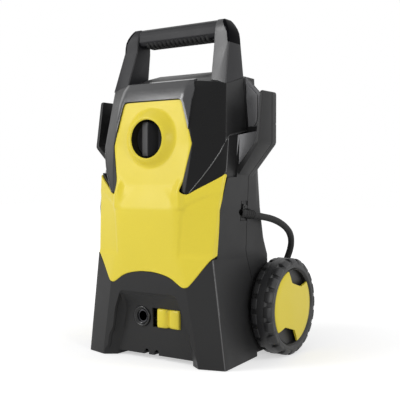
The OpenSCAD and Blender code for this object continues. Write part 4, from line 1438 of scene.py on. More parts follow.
    def _thicken(
        self, verts: Sequence[Vector], faces: Sequence[Sequence[int]], border: Line,
        insets: Sequence[Line],
    ) -> Mesh:
        """Lift the flat mesh onto the surface, round its rim and give it its thickness.

        Args:
            verts: the flat points.
            faces: the flat faces.
            border: the border.
            insets: the lines inside the border.

        Returns:
            The closed mesh.
        """
        used = sorted({i for face in faces for i in face})
        place = {old: new for new, old in enumerate(used)}
        rims = nearby([*border, *insets[0]])
        depths = [self.rim] * len(border) + [self.rim * 0.22] * len(insets[0])
        outer, inner = [], []
        for old in used:
            s, z = verts[old]
            here = self.surface(s, z)
            step = 0.35
            du = self.surface(s + step, z) - self.surface(s - step, z)
            dv = self.surface(s, z + step) - self.surface(s, z - step)
            normal = du.cross(dv).normalized()
            if normal.y > 0:
                normal = -normal
            _, near, far = rims.find((s, z, 0.0))
            sunk = depths[near] if far < 0.02 else 0.0
            outer.append(here - normal * sunk)
            inner.append(here - normal * PANEL_THICK)
        count = len(used)
        mesh_faces = [[place[i] for i in face] for face in faces]
        pairs = dict.fromkeys(pair for face in mesh_faces for pair in zip(face, face[1:] + face[:1]))
        walls = [[b, a, a + count, b + count] for a, b in pairs if (b, a) not in pairs]
        backs = [[i + count for i in reversed(face)] for face in mesh_faces]
        return Solid.from_faces(outer + inner, mesh_faces + backs + walls).mesh


def nearby(points: Line) -> KDTree:
    """A tree that finds the nearest of some points.

    Args:
        points: the points.

    Returns:
        The tree, ready to search.
    """
    tree = KDTree(len(points))
    for i, (x, y) in enumerate(points):
        tree.insert((x, y, 0.0), i)
    tree.balance()
    return tree


def inside(outline: Line, spot: Vector) -> bool:
    """Whether a point lies inside a closed outline.

    Args:
        outline: the corners.
        spot: the point.

    Returns:
        Whether it does.
    """
    within = False
    for (ax, ay), (bx, by) in zip(outline, list(outline[1:]) + [outline[0]]):
        if (ay > spot.y) != (by > spot.y) and spot.x < ax + (bx - ax) * (spot.y - ay) / (by - ay):
            within = not within
    return within


# ---------- repeated features


@dataclass
class Pattern:
    """Copies of one shape made by a Geometry Nodes tree, in a row or around an axis.

    Attributes:
        name: the tree's name.
        around: whether the copies go round the X axis; if not, they go in a row.
    """

    name: str
    around: bool

    def tree(self, material: bpy.types.Material) -> bpy.types.NodeTree:
        """Build the tree.

        Args:
            material: the material that every copy takes.

        Returns:
            The tree, with its inputs named.
        """
        tree = bpy.data.node_groups.new(self.name, "GeometryNodeTree")
        face = tree.interface
        for label, kind in (
            ("Geometry", "NodeSocketGeometry"), ("Shape", "NodeSocketObject"), ("Count", "NodeSocketInt"),
            ("Step", "NodeSocketVector"), ("Start", "NodeSocketVector"),
        ):
            face.new_socket(name=label, in_out="INPUT", socket_type=kind)
        face.new_socket(name="Geometry", in_out="OUTPUT", socket_type="NodeSocketGeometry")
        net = Net(tree)
        given, result = net.add("NodeGroupInput"), net.add("NodeGroupOutput")
        line, shape = net.add("GeometryNodeMeshLine"), net.add("GeometryNodeObjectInfo")
        copies, real = net.add("GeometryNodeInstanceOnPoints"), net.add("GeometryNodeRealizeInstances")
        finish = net.add("GeometryNodeSetMaterial")
        finish.inputs["Material"].default_value = material
        net.link(given.outputs["Count"], line.inputs["Count"])
        net.link(given.outputs["Shape"], shape.inputs["Object"])
        net.link(line.outputs["Mesh"], copies.inputs["Points"])
        net.link(shape.outputs["Geometry"], copies.inputs["Instance"])
        if self.around:
            line.inputs["Offset"].default_value = (0, 0, 0)
            index, turn = net.add("GeometryNodeInputIndex"), net.add("ShaderNodeVectorMath")
            turn.operation = "MULTIPLY_ADD"
            net.link(index.outputs[0], turn.inputs[0])
            net.link(given.outputs["Step"], turn.inputs[1])
            net.link(given.outputs["Start"], turn.inputs[2])
            net.link(turn.outputs["Vector"], copies.inputs["Rotation"])
        else:
            net.link(given.outputs["Step"], line.inputs["Offset"])
            net.link(given.outputs["Start"], line.inputs["Start Location"])
        net.link(copies.outputs["Instances"], real.inputs["Geometry"])
        net.link(real.outputs["Geometry"], finish.inputs["Geometry"])
        net.link(finish.outputs["Geometry"], result.inputs[0])
        return tree

    def run(self, shape: Mesh, count: int, step: Numbers, start: Numbers, finish: Finish) -> Mesh:
        """Copy a shape.

        Args:
            shape: the mesh that is copied.
            count: number of copies.
            step: move, or turn in radians, from one copy to the next.
            start: move or turn of the first copy.
            finish: the copies' finish.

        Returns:
            One mesh of all copies.
        """
        source, holder = add_object("shape", shape), add_object("holder", bpy.data.meshes.new("holder"))
        tree = self.tree(finish.material())
        change = holder.modifiers.new("pattern", "NODES")
        change.node_group = tree
        values = {"Shape": source, "Count": count, "Step": tuple(step), "Start": tuple(start)}
        for item in tree.interface.items_tree:
            if item.in_out == "INPUT" and item.name in values:
                change[item.identifier] = values[item.name]
        mesh = settled(holder, source)
        bpy.data.node_groups.remove(tree)
        return mesh


@dataclass
class Piece:
    """One finished piece of the visual model.

    Attributes:
        name: the piece's name.
        body: the body that it rides on.
        nodes: the CAD nodes that it stands for.
        slot: the record's material slot; not used.
        finish: its finish.
        smooth: edges that turn by more than this, in degrees, stay sharp.
    """

    name: str
    body: str
    nodes: tuple[str, ...]
    slot: str
    finish: Finish
    smooth: float = 32.0

    def place(
        self, *parts: Mesh, others: Sequence[Finish] = (),
        choose: Callable[[Vector, Vector], int] | None = None,
    ) -> bpy.types.Object:
        """Join the meshes, in millimetres, into the piece and hang it on its body.

        Args:
            parts: closed meshes.
            others: further finishes.
            choose: gives a face's finish from its middle and normal, 0 for the main one.

        Returns:
            The piece's object.
        """
        work = bmesh.new()
        for part in parts:
            work.from_mesh(part)
        bmesh.ops.remove_doubles(work, verts=work.verts, dist=0.0004)
        bmesh.ops.dissolve_degenerate(work, edges=work.edges, dist=0.0004)
        for face in work.faces:
            face.smooth = True
            if choose and not face.material_index:
                face.material_index = choose(face.calc_center_median(), face.normal)
        bmesh.ops.scale(work, verts=work.verts, vec=(MM, MM, MM))
        mesh = bpy.data.meshes.new(self.name)
        work.to_mesh(mesh)
        work.free()
        mesh.set_sharp_from_angle(angle=math.radians(self.smooth))
        for finish in (self.finish, *others):
            mesh.materials.append(finish.material())
        piece = add_object(self.name, mesh)
        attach(piece, self.body)
        if self.nodes:
            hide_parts(*self.nodes)
        log.info("%s: %d faces on %s", self.name, len(mesh.polygons), self.body)
        return piece


# ---------- knob, outlet and slider


@dataclass
class FrontFittings:
    """The knob, the outlet's collar and the release slider.

    Attributes:
        knob: radius of the knob's disc.
        slider_width: length of the slider's thumb pad.
        slider_half: half its height.
    """

    knob: float = 25.9
    slider_width: float = 38.6
    slider_half: float = 13.3

    def knob_mesh(self) -> Solid:
        """The knob: a dished disc with a wedge-shaped grip across it.

        Returns:
            The solid.
        """
        r, y, middle = self.knob, KNOB_SEAT_Y, (0, 0, KNOB_Z)
        disc = Solid.turned(
            [
                (0, y - 0.4), (r - 1, y - 0.4), (r, y - 1.2), (r, y - 4.4), (r - 0.5, y - 5.2),
                (r - 1.4, y - 5.4), (r - 2.6, y - 4.9), (r - 4.5, y - 3.9), (9, y - 3.3), (0, y - 3.3),
            ],
            "y", middle, 96,
        )
        wedge = rounded(
            [
                (-13.2, y - 2.6), (-12.8, y - 9.4, 1.5), (-0.9, y - 12.8, 0.8), (0.9, y - 12.8, 0.8),
                (9.8, y - 4.8, 4.0), (12.5, y - 2.6),
            ],
            steps=5,
        )
        rings = []
        base, ends = y - 2.6, ((0.8, 0.30), (1.2, 0.62), (2.4, 0.86), (4.5, 0.97), (8, 1.0), (r, 1.0))
        for place, share in both_ends(ends, -r, r):
            rings.append([(x, base + (v - base) * share, KNOB_Z + place) for x, v in wedge])
        grip = Solid.loft(rings) & bar("y", r - 0.3, -120, -90, middle, 96)
        return disc | grip | bar("y", 4.0, y - 1.3, y + 17, middle, 32)

    def collar_mesh(self) -> Solid:
        """The outlet's collar: a rolled ring with a flange behind the wall.

        Returns:
            The solid.
        """
        y = RECESS_Y
        profile = [
            (9.3, y + 5.0), (9.3, y - 0.4), (10.4, y - 1.0), (11.2, y - 1.7), (11.8, y - 2.6),
            (12.9, y - 3.0), (14.0, y - 2.7), (14.5, y - 1.9), (14.5, y + 3.4), (17.0, y + 3.6),
            (17.0, y + 6.4), (9.3, y + 6.4),
        ]
        return Solid.turned(profile, "y", (OUTLET[0], 0, OUTLET[1]), 72)

    def slider_mesh(self) -> Solid:
        """The release slider: a thumb pad with a hollow, a ridge and a step.

        Returns:
            The solid.
        """
        left, width, back, front = 6.0, self.slider_width, RECESS_Y + 4.2, RECESS_Y - 3.6
        curve = [
            (0.0, 2.8), (0.3, 1.2), (1.0, 0.0), (2.4, -1.0), (5.0, -1.4), (9.0, -1.4), (12.5, -0.8),
            (14.8, 0.4), (16.4, 2.0), (17.4, 3.5), (18.4, 4.0), (19.4, 3.5), (20.6, 2.2), (22.5, 1.2),
            (26, 0.6), (31.0, 0.2), (35.5, 0.2), (37.2, 0.6), (38.2, 1.6), (width, 2.8),
        ]
        low, high = OUTLET[1] - self.slider_half, OUTLET[1] + self.slider_half
        rings = []
        ends = ((0, 3.0), (0.3, 1.8), (1.0, 0.8), (2.2, 0.2), (4, 0))
        for place, sink in both_ends(ends, low, high):
            line = [(left + x, min(back - 1, front + y + sink)) for x, y in curve]
            rings.append([(x, y, place) for x, y in line + [(left + width, back), (left, back)]])
        pad = Solid.loft(rings)
        right = left + width
        flange = Solid.box((left - 2, RECESS_Y + 3.5, low - 3), (right + 3, RECESS_Y + 6.5, high + 3))
        tab = Solid.box((right, back, 55), (right + 3, RECESS_Y + 13.8, 65))
        return pad | flange.eased(0.5) | tab.eased(0.4)

    def build(self) -> None:
        """Make and place the three fittings."""
        knob = Piece("knob_moulding", "knob", ("control_knob",), "knob_plastic", KNOB_BLACK, 34)
        # The grip's faces turned to the left take the lighter black: painted light on that side.
        knob.place(
            self.knob_mesh().mesh, others=(KNOB_PAINTED_LIGHT,),
            choose=lambda at, n: int(n.x < -0.15 and n.y < -0.4 and abs(at.x) < 13),
        )
        ring = Piece("outlet_ring", "casing", ("outlet_collar",), "knob_plastic", COLLAR_BLACK, 50)
        ring.place(self.collar_mesh().mesh)
        pad = Piece("release_pad", "slider", ("release_slider",), "yellow_plastic", YELLOW, 40)
        pad.place(self.slider_mesh().mesh)


# ---------- handle


@dataclass
class Handle:
    """The handle's frame, its glossy caps and the ribbed grip.

    Attributes:
        ribs: ribs under the grip.
        pitch: distance from rib to rib.
        half: half the grip's length.
        top: height of the bar.
        bore_top: top of the tubes' bores in the uprights.
    """

    ribs: int = 15
    pitch: float = 7.6
    half: float = 61.5
    top: float = 478.0
    bore_top: float = 444.4

    def profile(self, inset: float = 0.0) -> list[Point2]:
        """The bar's section as (y, z), drawn in by a little.

        Args:
            inset: how far it is drawn in.

        Returns:
            The section.
        """
        z = self.top
        line = [
            (-34.5, z, 5.0), (-40.0, z - 3.5, 6.0), (-42.6, z - 11, 7.0), (-43.6, z - 20, 4.0),
            (-40.5, z - 25.2, 4.0), (-35, z - 27.0, 6.0), (-25, z - 27.2, 6.0), (-17, z - 25.6, 5.0),
            (-11, z - 21, 5.0), (-9.8, z - 12, 5.0), (-12, z - 5, 4.0), (-17, z, 3.0),
        ]
        line = rounded(line, steps=3)
        return grown(line, -inset) if inset else line

    def grip(self) -> list[Mesh]:
        """The soft grip under the bar, with its ribs.

        Returns:
            The core and its ribs.
        """
        low = Solid.box((-70, -70, 400), (70, 10, self.top - 21.3))
        core = Solid.prism(self.profile(0.5), -self.half + 0.2, self.half - 0.2, "x") & low
        ends = ((0, 1.5), (0.2, 0.9), (0.7, 0.35), (1.5, 0.05), (2.9, 0))
        rib = Solid.loft([
            [(x, *p) for p in rounded([
                (-43.4 + d, 457.0), (-43.4 + d, 455.6 + d, 2.0), (-40.2 + d, 450.4 + d, 4.0),
                (-34.8, 448.5 + d, 6.0), (-25, 448.3 + d, 6.0), (-17.2 - d, 450 + d, 5.0),
                (-11.2 - d, 455 + d, 4.0), (-10.6 - d, 457.0),
            ], steps=3)]
            for x, d in both_ends(ends, -2.9, 2.9)
        ])
        first = (-self.pitch * (self.ribs - 1) / 2, 0, 0)
        row = Pattern("grip_ribs", False).run(rib.mesh, self.ribs, (self.pitch, 0, 0), first, GRIP_RUBBER)
        return [core.mesh, row]

    def upright(self) -> Solid:
        """The right upright up to the bar's top, with soft edges.

        Returns:
            The solid.
        """
        rings = []
        for z, inner, outer, front, rear, far_x, rear_x, near_x, side in (
            (377, 75.0, 100.5, -67.0, -9.0, 99.9, 92.5, 80.0, -16.0),
            (444, 68.4, 93.3, -46.9, -9.4, 92.8, 86.0, 76.0, -15.5),
            (452, 68.3, 92.8, -46.7, -9.5, 92.2, 85.3, 75.5, -15.7),
            (459, 68.3, 91.8, -46.0, -9.8, 91.2, 84.5, 75.0, -16.0),
            (465, 68.3, 89.4, -44.7, -10.3, 88.8, 82.5, 74.6, -16.5),
            (470, 68.3, 86.6, -42.9, -11.0, 86.0, 80.0, 74.2, -17.5),
            (474.5, 68.3, 83.6, -40.6, -12.6, 83.0, 78.0, 74.0, -19.0),
            (478, 68.3, 80.8, -37.8, -17.0, 80.4, 76.5, 74.0, -22.0),
        ):
            rings.append([(inner, front, z), (outer, front, z), (far_x, side, z), (rear_x, rear, z),
                          (near_x, rear, z), (inner + 0.6, side, z)])
        return Solid.loft(rings).eased(2.6, 24, 4)

    def cap_zone(self, more: float = 0.0) -> Solid:
        """The corner of the right upright that the cap takes.

        Args:
            more: how far it is grown.

        Returns:
            The solid.
        """
        line = [(130, 443.5), (91, 443.5), (89, 458), (79.5, 474), (79.5, 508), (130, 508)]
        line = [(x - more, z - more) if x < 130 else (x, z - more) for x, z in line]
        return Solid.prism(line, -90, 20, "y")

    def frame_mesh(self) -> Solid:
        """The frame: two uprights that stand proud of the round bar between them.

        Returns:
            The solid.
        """
        bore = bar("z", 8.1, 300, self.bore_top, (*TUBE_AT, 0), 48)
        upright = self.upright().cut(self.cap_zone(0.3), bore) & CasingForm().above_roof(-0.5)
        return upright | upright.flipped() | Solid.prism(self.profile(), -73, 73, "x")

    def build(self) -> None:
        """Make and place the handle's pieces."""
        moulding = Piece("handle_moulding", "handle", ("handle_frame",), "casing_plastic", HANDLE_GREY, 30)
        # The bar, the faces turned right and the left upright's front take the darker black: painted shade.
        moulding.place(
            self.frame_mesh().mesh, others=(HANDLE_PAINTED_SHADE,),
            choose=lambda at, n: int(abs(at.x) < 67.5 or n.x > 0.85 or (at.x < 0 and n.y < -0.6)),
        )
        cap = self.upright() & self.cap_zone()
        for side, solid in (("left", cap.flipped()), ("right", cap)):
            node = f"handle_cap_{side}"
            Piece(f"gloss_cap_{side}", "handle", (node,), "cap_plastic", GLOSS_BLACK, 30).place(solid.mesh)
        grip = Piece("ribbed_grip", "handle", ("handle_grip",), "grip_rubber", GRIP_RUBBER, 40)
        grip.place(*self.grip())


# ---------- wheels


@dataclass
class Wheel:
    """One wheel: the lugged tyre, the dark rim and the yellow cover.

    Attributes:
        side: 1 for the right wheel, -1 for the left.
        radius: the tyre's outer radius.
        near: the tyre's inner face, out from the machine's middle.
        far: the tyre's outer face.
        lugs: lugs on each edge.
        cover: the cover's radius.
    """

    side: int
    radius: float = 70.0
    near: float = 112.0
    far: float = 147.0
    lugs: int = 20
    cover: float = 53.5

    def _turned(self, profile: Line, count: int = 96) -> Solid:
        """A profile turned about the axle."""
        return Solid.turned(profile, "x", (0, *AXLE), count)

    def _ring(self, name: str, shape: Solid, count: int, start: float, finish: Finish) -> Mesh:
        """Copies of a shape, evenly round the axle.

        Args:
            name: the name of the node tree.
            shape: the shape, standing over an axle at the origin.
            count: number of copies.
            start: turn of the first copy, in radians.
            finish: the copies' finish.

        Returns:
            One mesh of all copies.
        """
        step = (2 * math.pi / count, 0, 0)
        mesh = Pattern(name, True).run(shape.mesh, count, step, (start, 0, 0), finish)
        mesh.transform(Matrix.Translation((0, *AXLE)))
        return mesh

    def tyre(self) -> list[Mesh]:
        """The tyre's band and its two staggered rows of lugs.

        Returns:
            The band and the rows.
        """
        r, a, b = self.radius, self.near, self.far
        band = self._turned([
            (55.0, a + 0.2), (r - 6.5, a + 0.2), (r - 4.4, a + 1.0), (r - 3.4, a + 3.4), (r - 3.2, a + 8.6),
            (r - 0.7, a + 10.6), (r - 0.4, a + 13), (r - 0.4, b - 13), (r - 0.7, b - 10.6),
            (r - 3.2, b - 8.6), (r - 3.4, b - 3.6), (r - 4.6, b - 1.3), (r - 6.4, b - 0.7), (58.6, b - 0.3),
            (56.8, b - 0.7), (55.0, b - 2.8),
        ], 120)
        lug = rounded([
            (b - 12.2, r - 4), (b - 12.2, r - 0.1, 1.0), (b - 4.4, r - 0.1, 3.4), (b - 0.1, r - 4.6, 2.0),
            (b - 0.1, r - 8.4, 1.0), (b - 2.0, r - 9.4), (b - 5, r - 7),
        ], steps=3)
        rings = []
        ends = ((0, 1.3), (0.2, 0.6), (0.8, 0.15), (1.9, 0.0), (7.7, 0.0))
        for across, inset in both_ends(ends, -7.7, 7.7):
            bend = self.radius - math.sqrt(self.radius**2 - across**2)
            rings.append([(x, across, z - bend) for x, z in grown(lug, -inset)])
        outer = Solid.loft(rings)
        inner = outer.flipped()
        inner.mesh.transform(Matrix.Translation((self.near + self.far, 0, 0)))
        rows = ((outer, 0.0), (inner, math.pi / self.lugs))
        return [band.mesh] + [self._ring("tyre_lugs", lug, self.lugs, at, TYRE_RUBBER) for lug, at in rows]

    def rim(self) -> list[Mesh]:
        """The rim: a dished web between the hub and the tyre's seat, with ribs.

        Returns:
            The web and its ribs.
        """
        a, b, r = self.near, self.far, self.radius - 15.1
        body = self._turned([
            (5.06, a + 1), (14, a + 1), (14.6, a + 1.6), (14.6, b - 14), (r - 3, b - 14), (r - 3, a + 1.5),
            (r, a + 1.5), (r, b - 2.6), (r - 0.4, b - 2.2), (r - 1.4, b - 3.4), (r - 1.6, b - 9.6),
            (r - 3, b - 10), (14, b - 10), (5.06, b - 10),
        ])
        rib = Solid.box((a + 6, -1.2, 14), (b - 13.6, 1.2, r - 2.4)).eased(0.3)
        return [body.mesh, self._ring("rim_ribs", rib, 12, 0.0, RIM_BLACK)]

    def cover_mesh(self) -> Solid:
        """The yellow cover: a dished disc with two cut-outs that face each other.

        Returns:
            The solid.
        """
        b, r = self.far, self.cover
        plate = self._turned([
            (0, b - 4.6), (r - 1.2, b - 4.6), (r - 0.2, b - 4.2), (r, b - 3.2), (r - 0.5, b - 2.3),
            (r - 1.6, b - 1.9), (r - 9, b - 1.4), (r - 14, b - 1.5), (18, b - 1.2), (0, b - 1.1),
        ], 128)
        cut = rounded([
            (-13.5, r + 8), (-13.5, r - 1, 0.0), (-4, r - 19, 5.0), (24, r - 27, 6.0), (r - 6, r - 20.5, 4.0),
            (r + 8, r - 14), (r + 8, r + 8),
        ], steps=5)
        for sign in (1, -1):
            line = [(AXLE[0] + sign * y, AXLE[1] + sign * z) for y, z in cut]
            plate = plate - Solid.prism(line, b - 20, b + 10, "x")
        lip = self._turned([(6, b - 9.6), (11.2, b - 9.6), (11.2, b - 4.4), (6, b - 4.4)], 48)
        return plate | lip

    def build(self) -> None:
        """Make and place the wheel's pieces."""
        name = "right" if self.side > 0 else "left"
        for piece, node, slot, finish, smooth, meshes in (
            ("lugged_tyre", "tyre", "tyre", TYRE_RUBBER, 34, self.tyre()),
            ("ribbed_rim", "wheel_rim", "knob_plastic", RIM_BLACK, 34, self.rim()),
            ("dished_cover", "wheel_cover", "yellow_plastic", YELLOW, 30, [self.cover_mesh().mesh]),
        ):
            made = Piece(f"{piece}_{name}", f"{name}_wheel", (f"{node}_{name}",), slot, finish, smooth)
            made.place(*(mesh if self.side > 0 else Solid(mesh).flipped().mesh for mesh in meshes))


def dress(node: str, finish: Finish) -> None:
    """Give a CAD node's object one finish.

    Args:
        node: the node's name.
        finish: the finish it takes.
    """
    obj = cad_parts[node]
    obj.data.materials.clear()
    obj.data.materials.append(finish.material())
    log.info("dressed %s with %s", node, finish.name)


# ---------- camera and studio


@dataclass
class Studio:
    """The camera, the pale floor and the soft lamps.

    Attributes:
        eye: the camera's place.
        turn: the camera's turn about the upright axis, in degrees.
        dip: how far the camera looks down, in degrees.
        lens: focal length, in millimetres, for a 36 mm sensor.
        rise: upward shift of the picture.
    """

    eye: tuple[float, float, float] = (0.67157, -0.95244, 0.24989)
    turn: float = 34.69
    dip: float = 1.439
    lens: float = 69.97
    rise: float = 0.0043

    def place_camera(self) -> None:
        """Make the camera and set it as the scene's own."""
        data = bpy.data.cameras.new("camera")
        data.lens, data.sensor_width, data.shift_y = self.lens, 36.0, self.rise
        camera = add_object("camera", data)
        camera.location = self.eye
        camera.rotation_euler = (math.radians(90 - self.dip), 0, math.radians(self.turn))
        bpy.context.scene.camera = camera

    def build(self) -> None:
        """Make the floor, the world and the lamps."""
        self._world()
        self._floor()
        self._lamp("key_lamp", (-0.95, -1.5, 0.8), 0.8, 11.5)
        self._lamp("top_lamp", (-0.95, -1.13, 1.39), 0.42, 6.0)
        self._lamp("edge_lamp", (1.6, -0.85, 0.5), 0.4, 6.8)
        self._lamp("rim_lamp", (1.5, 0.5, 1.1), 0.6, 6.0)
        bpy.context.scene.view_settings.view_transform = "Standard"

    def _seen(self, net: Net) -> Socket:
        """One where a ray comes from the camera, a gloss or a clear surface.

        Args:
            net: the tree to build in.

        Returns:
            The mark's socket.
        """
        path = net.add("ShaderNodeLightPath")
        total = path.outputs["Is Camera Ray"]
        for name in ("Is Glossy Ray", "Is Transmission Ray"):
            join = net.add("ShaderNodeMath")
            join.operation = "MAXIMUM"
            net.link(total, join.inputs[0])
            net.link(path.outputs[name], join.inputs[1])
            total = join.outputs[0]
        return total

    def _world(self) -> None:
        """A pale world that is white where it is seen."""
        world = bpy.data.worlds.new("studio")
        world.use_nodes = True
        bpy.context.scene.world = world
        net = Net(world.node_tree)
        plain, white = world.node_tree.nodes["Background"], net.add("ShaderNodeBackground")
        for background, strength in ((plain, 0.4), (white, 1.0)):
            background.inputs["Color"].default_value = (1, 1, 1, 1)
            background.inputs["Strength"].default_value = strength
        mix = net.add("ShaderNodeMixShader")
        net.link(self._seen(net), mix.inputs[0])
        net.link(plain.outputs[0], mix.inputs[1])
        net.link(white.outputs[0], mix.inputs[2])
        net.link(mix.outputs[0], world.node_tree.nodes["World Output"].inputs["Surface"])

    def _floor(self) -> None:
        """A wide pale floor that keeps the soft shadow."""
        mesh = bpy.data.meshes.new("floor")
        size = 6.0
        corners = [(-size, -size, 0), (size, -size, 0), (size, size, 0), (-size, size, 0)]
        mesh.from_pydata(corners, [], [(0, 1, 2, 3)])
        floor = add_object("floor", mesh)
        mat = bpy.data.materials.new("floor_white")
        mat.use_nodes = True
        net = Net(mat.node_tree)
        shader = mat.node_tree.nodes["Principled BSDF"]
        shader.inputs["Base Color"].default_value = (0.74, 0.74, 0.74, 1)
        shader.inputs["Roughness"].default_value = 0.9
        shader.inputs["Specular IOR Level"].default_value = 0.0
        glow = net.add("ShaderNodeEmission")
        glow.inputs["Color"].default_value = (1, 1, 1, 1)
        scale = net.add("ShaderNodeMath")
        scale.operation = "MULTIPLY"
        place = net.add("ShaderNodeTexCoord")
        away = net.add("ShaderNodeVectorMath")
        away.operation = "LENGTH"
        net.link(place.outputs["Object"], away.inputs[0])
        fade = net.add("ShaderNodeMapRange")
        for name, value in (("From Min", 0.2), ("From Max", 0.7), ("To Min", 0.52), ("To Max", 0.74)):
            fade.inputs[name].default_value = value
        net.link(away.outputs["Value"], fade.inputs["Value"])
        net.link(fade.outputs["Result"], scale.inputs[1])
        net.link(self._seen(net), scale.inputs[0])
        net.link(scale.outputs[0], glow.inputs["Strength"])
        both = net.add("ShaderNodeAddShader")
        net.link(shader.outputs[0], both.inputs[0])
        net.link(glow.outputs[0], both.inputs[1])
        net.link(both.outputs[0], mat.node_tree.nodes["Material Output"].inputs["Surface"])
        mesh.materials.append(mat)

    def _lamp(self, name: str, place: Numbers, size: float, power: float) -> None:
        """A square soft lamp that looks at the machine's middle.

        Args:
            name: the lamp's name.
            place: where it stands.
            size: its side, in metres.
            power: its power, in watts.
        """
        data = bpy.data.lights.new(name, "AREA")
        data.size, data.energy = size, power
        lamp = add_object(name, data)
        lamp.location = place
        way = Vector((0, 0, 0.25)) - Vector(place)
        lamp.rotation_euler = way.to_track_quat("-Z", "Y").to_euler()


# ---------- mains cord


@dataclass
class MainsCord:
    """The mains cord: its free stretch, its coil and its tail up to the plug.

    Attributes:
        diameter: the cord's diameter.
        length: the cord's real length; not used.
        route: the points of the free stretch, given one by one.
        coil_at: the coil's middle, on the floor under it.
        ring: radius of the middle turns.
        wide: turns side by side.
        high: turns on each other.
        steps: points for each turn.
    """

    diameter: float = 0.010
    length: float = 5.0
    route: tuple[tuple[float, float, float], ...] = (
        (0.109, -0.008, 0.2043), (0.112, 0.009, 0.201), (0.115, 0.027, 0.198), (0.117, 0.043, 0.194),
        (0.118, 0.060, 0.188), (0.1163, 0.0785, 0.1803), (0.1132, 0.0945, 0.1708), (0.1087, 0.1065, 0.1588),
        (0.1023, 0.1145, 0.1453), (0.0948, 0.1180, 0.130), (0.087, 0.1188, 0.112), (0.0803, 0.1188, 0.091),
        (0.0745, 0.118, 0.068), (0.0667, 0.1178, 0.0425), (0.0600, 0.117, 0.0275), (0.0495, 0.1155, 0.0155),
        (0.0355, 0.113, 0.0085), (0.019, 0.1105, 0.0060), (-0.001, 0.1075, 0.0054), (-0.022, 0.105, 0.0052),
        (-0.045, 0.104, 0.0056),
    )
    coil_at: tuple[float, float, float] = (-0.072, 0.172, 0.0012)
    ring: float = 0.0585
    wide: int = 3
    high: int = 4
    steps: int = 24

    def _turn_place(self, turns: float) -> Vector:
        """The cord's middle after that many turns of the coil.

        Args:
            turns: turns made since the cord came to the coil.

        Returns:
            The point.
        """
        whole = int(turns + 1e-9)
        part = turns - whole
        here, after = self._slot(whole), self._slot(whole + 1)
        side_step = ease((part - 0.62) / 0.18)
        climb = ease((part - 0.81) / 0.18)
        radius = here[0] + (after[0] - here[0]) * side_step
        height = here[1] + (after[1] - here[1]) * climb
        angle = -math.pi / 2 - 2 * math.pi * turns
        x, y, z = self.coil_at
        return Vector((x + radius * math.cos(angle), y + radius * math.sin(angle), z + height))

    def _slot(self, index: int) -> tuple[float, float]:
        """Radius and height of one turn, outside in and then inside out, layer on layer.

        Args:
            index: number of the turn, from 0.

        Returns:
            The radius and the height, in metres.
        """
        layer, place = divmod(index, self.wide)
        across = place if layer % 2 else self.wide - 1 - place
        return self.ring + (across - (self.wide - 1) / 2) * self.diameter, self.diameter * (layer + 0.5)

    def points(self) -> list[Vector]:
        """Every point of the cord's middle line, from the casing to the plug.

        Returns:
            The points.
        """
        line = [Vector(p) for p in self.route]
        turns = self.wide * self.high
        line += [self._turn_place(i / self.steps) for i in range(1, turns * self.steps - 3)]
        x, y, z = self.coil_at
        top = z + self.diameter * self.high
        for turn, radius, height in (
            (-0.06, 0.068, -0.0040), (0.0, 0.067, 0.0010), (0.06, 0.066, 0.0045), (0.12, 0.065, 0.0064),
            (0.18, 0.064, 0.0072), (0.24, 0.063, 0.0082), (0.285, 0.064, 0.0105), (0.32, 0.067, 0.0134),
        ):
            angle = -math.pi / 2 - 2 * math.pi * turn
            line.append(Vector((x + radius * math.cos(angle), y + radius * math.sin(angle), top + height)))
        line.append(Vector((x - 0.050, y + 0.058, top + 0.0148)))
        return line

    def build(self) -> bpy.types.Object:
        """Returns:
            The cord's object.
        """
        data = bpy.data.curves.new("mains_cord", "CURVE")
        data.dimensions, data.resolution_u = "3D", 3
        data.bevel_depth, data.bevel_resolution, data.use_fill_caps = self.diameter / 2, 3, True
        line = self.points()
        spline = data.splines.new("BEZIER")
        spline.bezier_points.add(len(line) - 1)
        for knot, place in zip(spline.bezier_points, line):
            knot.co = place
            knot.handle_left_type = knot.handle_right_type = "AUTO"
        cord = add_object("mains_cord", data)
        data.materials.append(CORD_RUBBER.material())
        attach(cord, "casing")
        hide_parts("power_cord", "cord_coil")
        log.info("mains cord, %d points", len(line))
        return cord


# ---------- carried nodes

CARRIED = {
    GRIP_RUBBER: ("foot_pads", "pump_feet"),
    INNER_BLACK: (
        "switch_body", "tube_plug_left", "tube_plug_right", "tube_guide_left", "tube_guide_right",
        "motor_housing", "fan_shroud", "inlet_pipe", "inner_leads", "pressure_switch", "cord_tie",
    ),
    CORD_RUBBER: ("plug_body",),
    WHITE_PLASTIC: ("capacitor", "cooling_fan"),
    BRASS: ("water_inlet", "brush_holders"),
    STEEL: (
        "release_spring", "piston_springs", "pistons", "axle", "axle_nuts", "casing_screws",
        "stator", "rotor", "motor_bearings", "wobble_plate", "inlet_filter", "plug_pins",
    ),
    GUN_METAL: ("outlet_socket",),
    TUBE: ("handle_tube_left", "handle_tube_right"),
    ALUMINIUM: ("pump_head", "gear_case"),
}


def painted(mesh: Mesh, finish: int) -> Mesh:
    """The mesh with every face on one of the piece's finishes.

    Args:
        mesh: the mesh.
        finish: the finish's number.

    Returns:
        The same mesh.
    """
    for face in mesh.polygons:
        face.material_index = finish
    return mesh


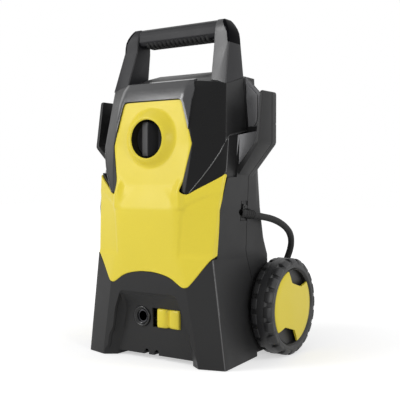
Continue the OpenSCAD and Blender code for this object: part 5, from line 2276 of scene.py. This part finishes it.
def front_finish(at: Vector, normal: Vector) -> int:
    """Which finish a face of the black halves takes.

    Args:
        at: the face's middle.
        normal: the way it faces.

    Returns:
        0 for the grained casing, 1 for the polished cowl, 2 for the pale grey that paints light on the arms'
        pockets,
        3 for the lighter black that paints a highlight on the edges.
    """
    across = abs(at.x)
    # Painted highlight on the lower front corners and on the set-back corner under the cowl.
    if at.z < 146 and across > 99 and normal.y < -0.3 and abs(normal.x) > 0.5:
        return 3
    if 234 < at.z < 311 and across > 103 and normal.y < -0.3 and abs(normal.x) > 0.75:
        return 3
    # Painted light on the arms' webs and pocket floors that face forwards.
    if 101 < across < 143 and -51 < at.y < -7:
        if normal.y < -0.75 and 322 < at.z < 397 and at.y > -16:
            return 2
        if normal.y < -0.5 and 0.4 < abs(normal.x) < 0.75 and 254 < at.z < 326 and at.y > -50:
            return 2
    return int(at.z > 232 and normal.y < -0.35 and abs(normal.x) > 0.3 and across < 112)


def build_casing() -> None:
    """Make and place the casing halves, the panel and the console frame."""
    casing, blacks = Casing(), (COWL_BLACK, ARM_POCKET_PAINTED_LIGHT, EDGE_PAINTED_HIGHLIGHT)
    hull = casing.hull()
    # The cowl's bead takes finish 3, the lighter black that paints a highlight.
    front = [casing.front(hull).mesh, painted(casing.bead().mesh, 3)]
    Piece("front_half", "casing", ("front_shell",), "casing_plastic", SHELL_BLACK, 30).place(
        *front, others=blacks, choose=front_finish)
    Piece("cord_guard", "casing", ("strain_relief",), "cord_rubber", CORD_RUBBER, 40).place(
        *casing.cord_guard())
    Piece("rear_half", "casing", ("rear_shell",), "casing_plastic", SHELL_BLACK, 30).place(
        casing.rear(hull).mesh, others=blacks, choose=front_finish)
    Piece("console_brow", "casing", ("console_hood",), "hood_plastic", HOOD_GREY, 40).place(
        casing.hood().mesh)
    Piece("panel_moulding", "casing", ("front_panel",), "yellow_plastic", YELLOW, 50).place(
        FrontPanel(casing).build())


def main() -> None:
    """Build the scene in order."""
    logging.basicConfig(level=logging.INFO, format="%(name)s: %(message)s")
    studio = Studio()
    studio.place_camera()
    for finish, nodes in CARRIED.items():
        for node in nodes:
            dress(node, finish)
    build_casing()
    MainsCord().build()
    FrontFittings().build()
    Handle().build()
    for side in (1, -1):
        Wheel(side).build()
    studio.build()


if __name__ == "__main__":
    main()
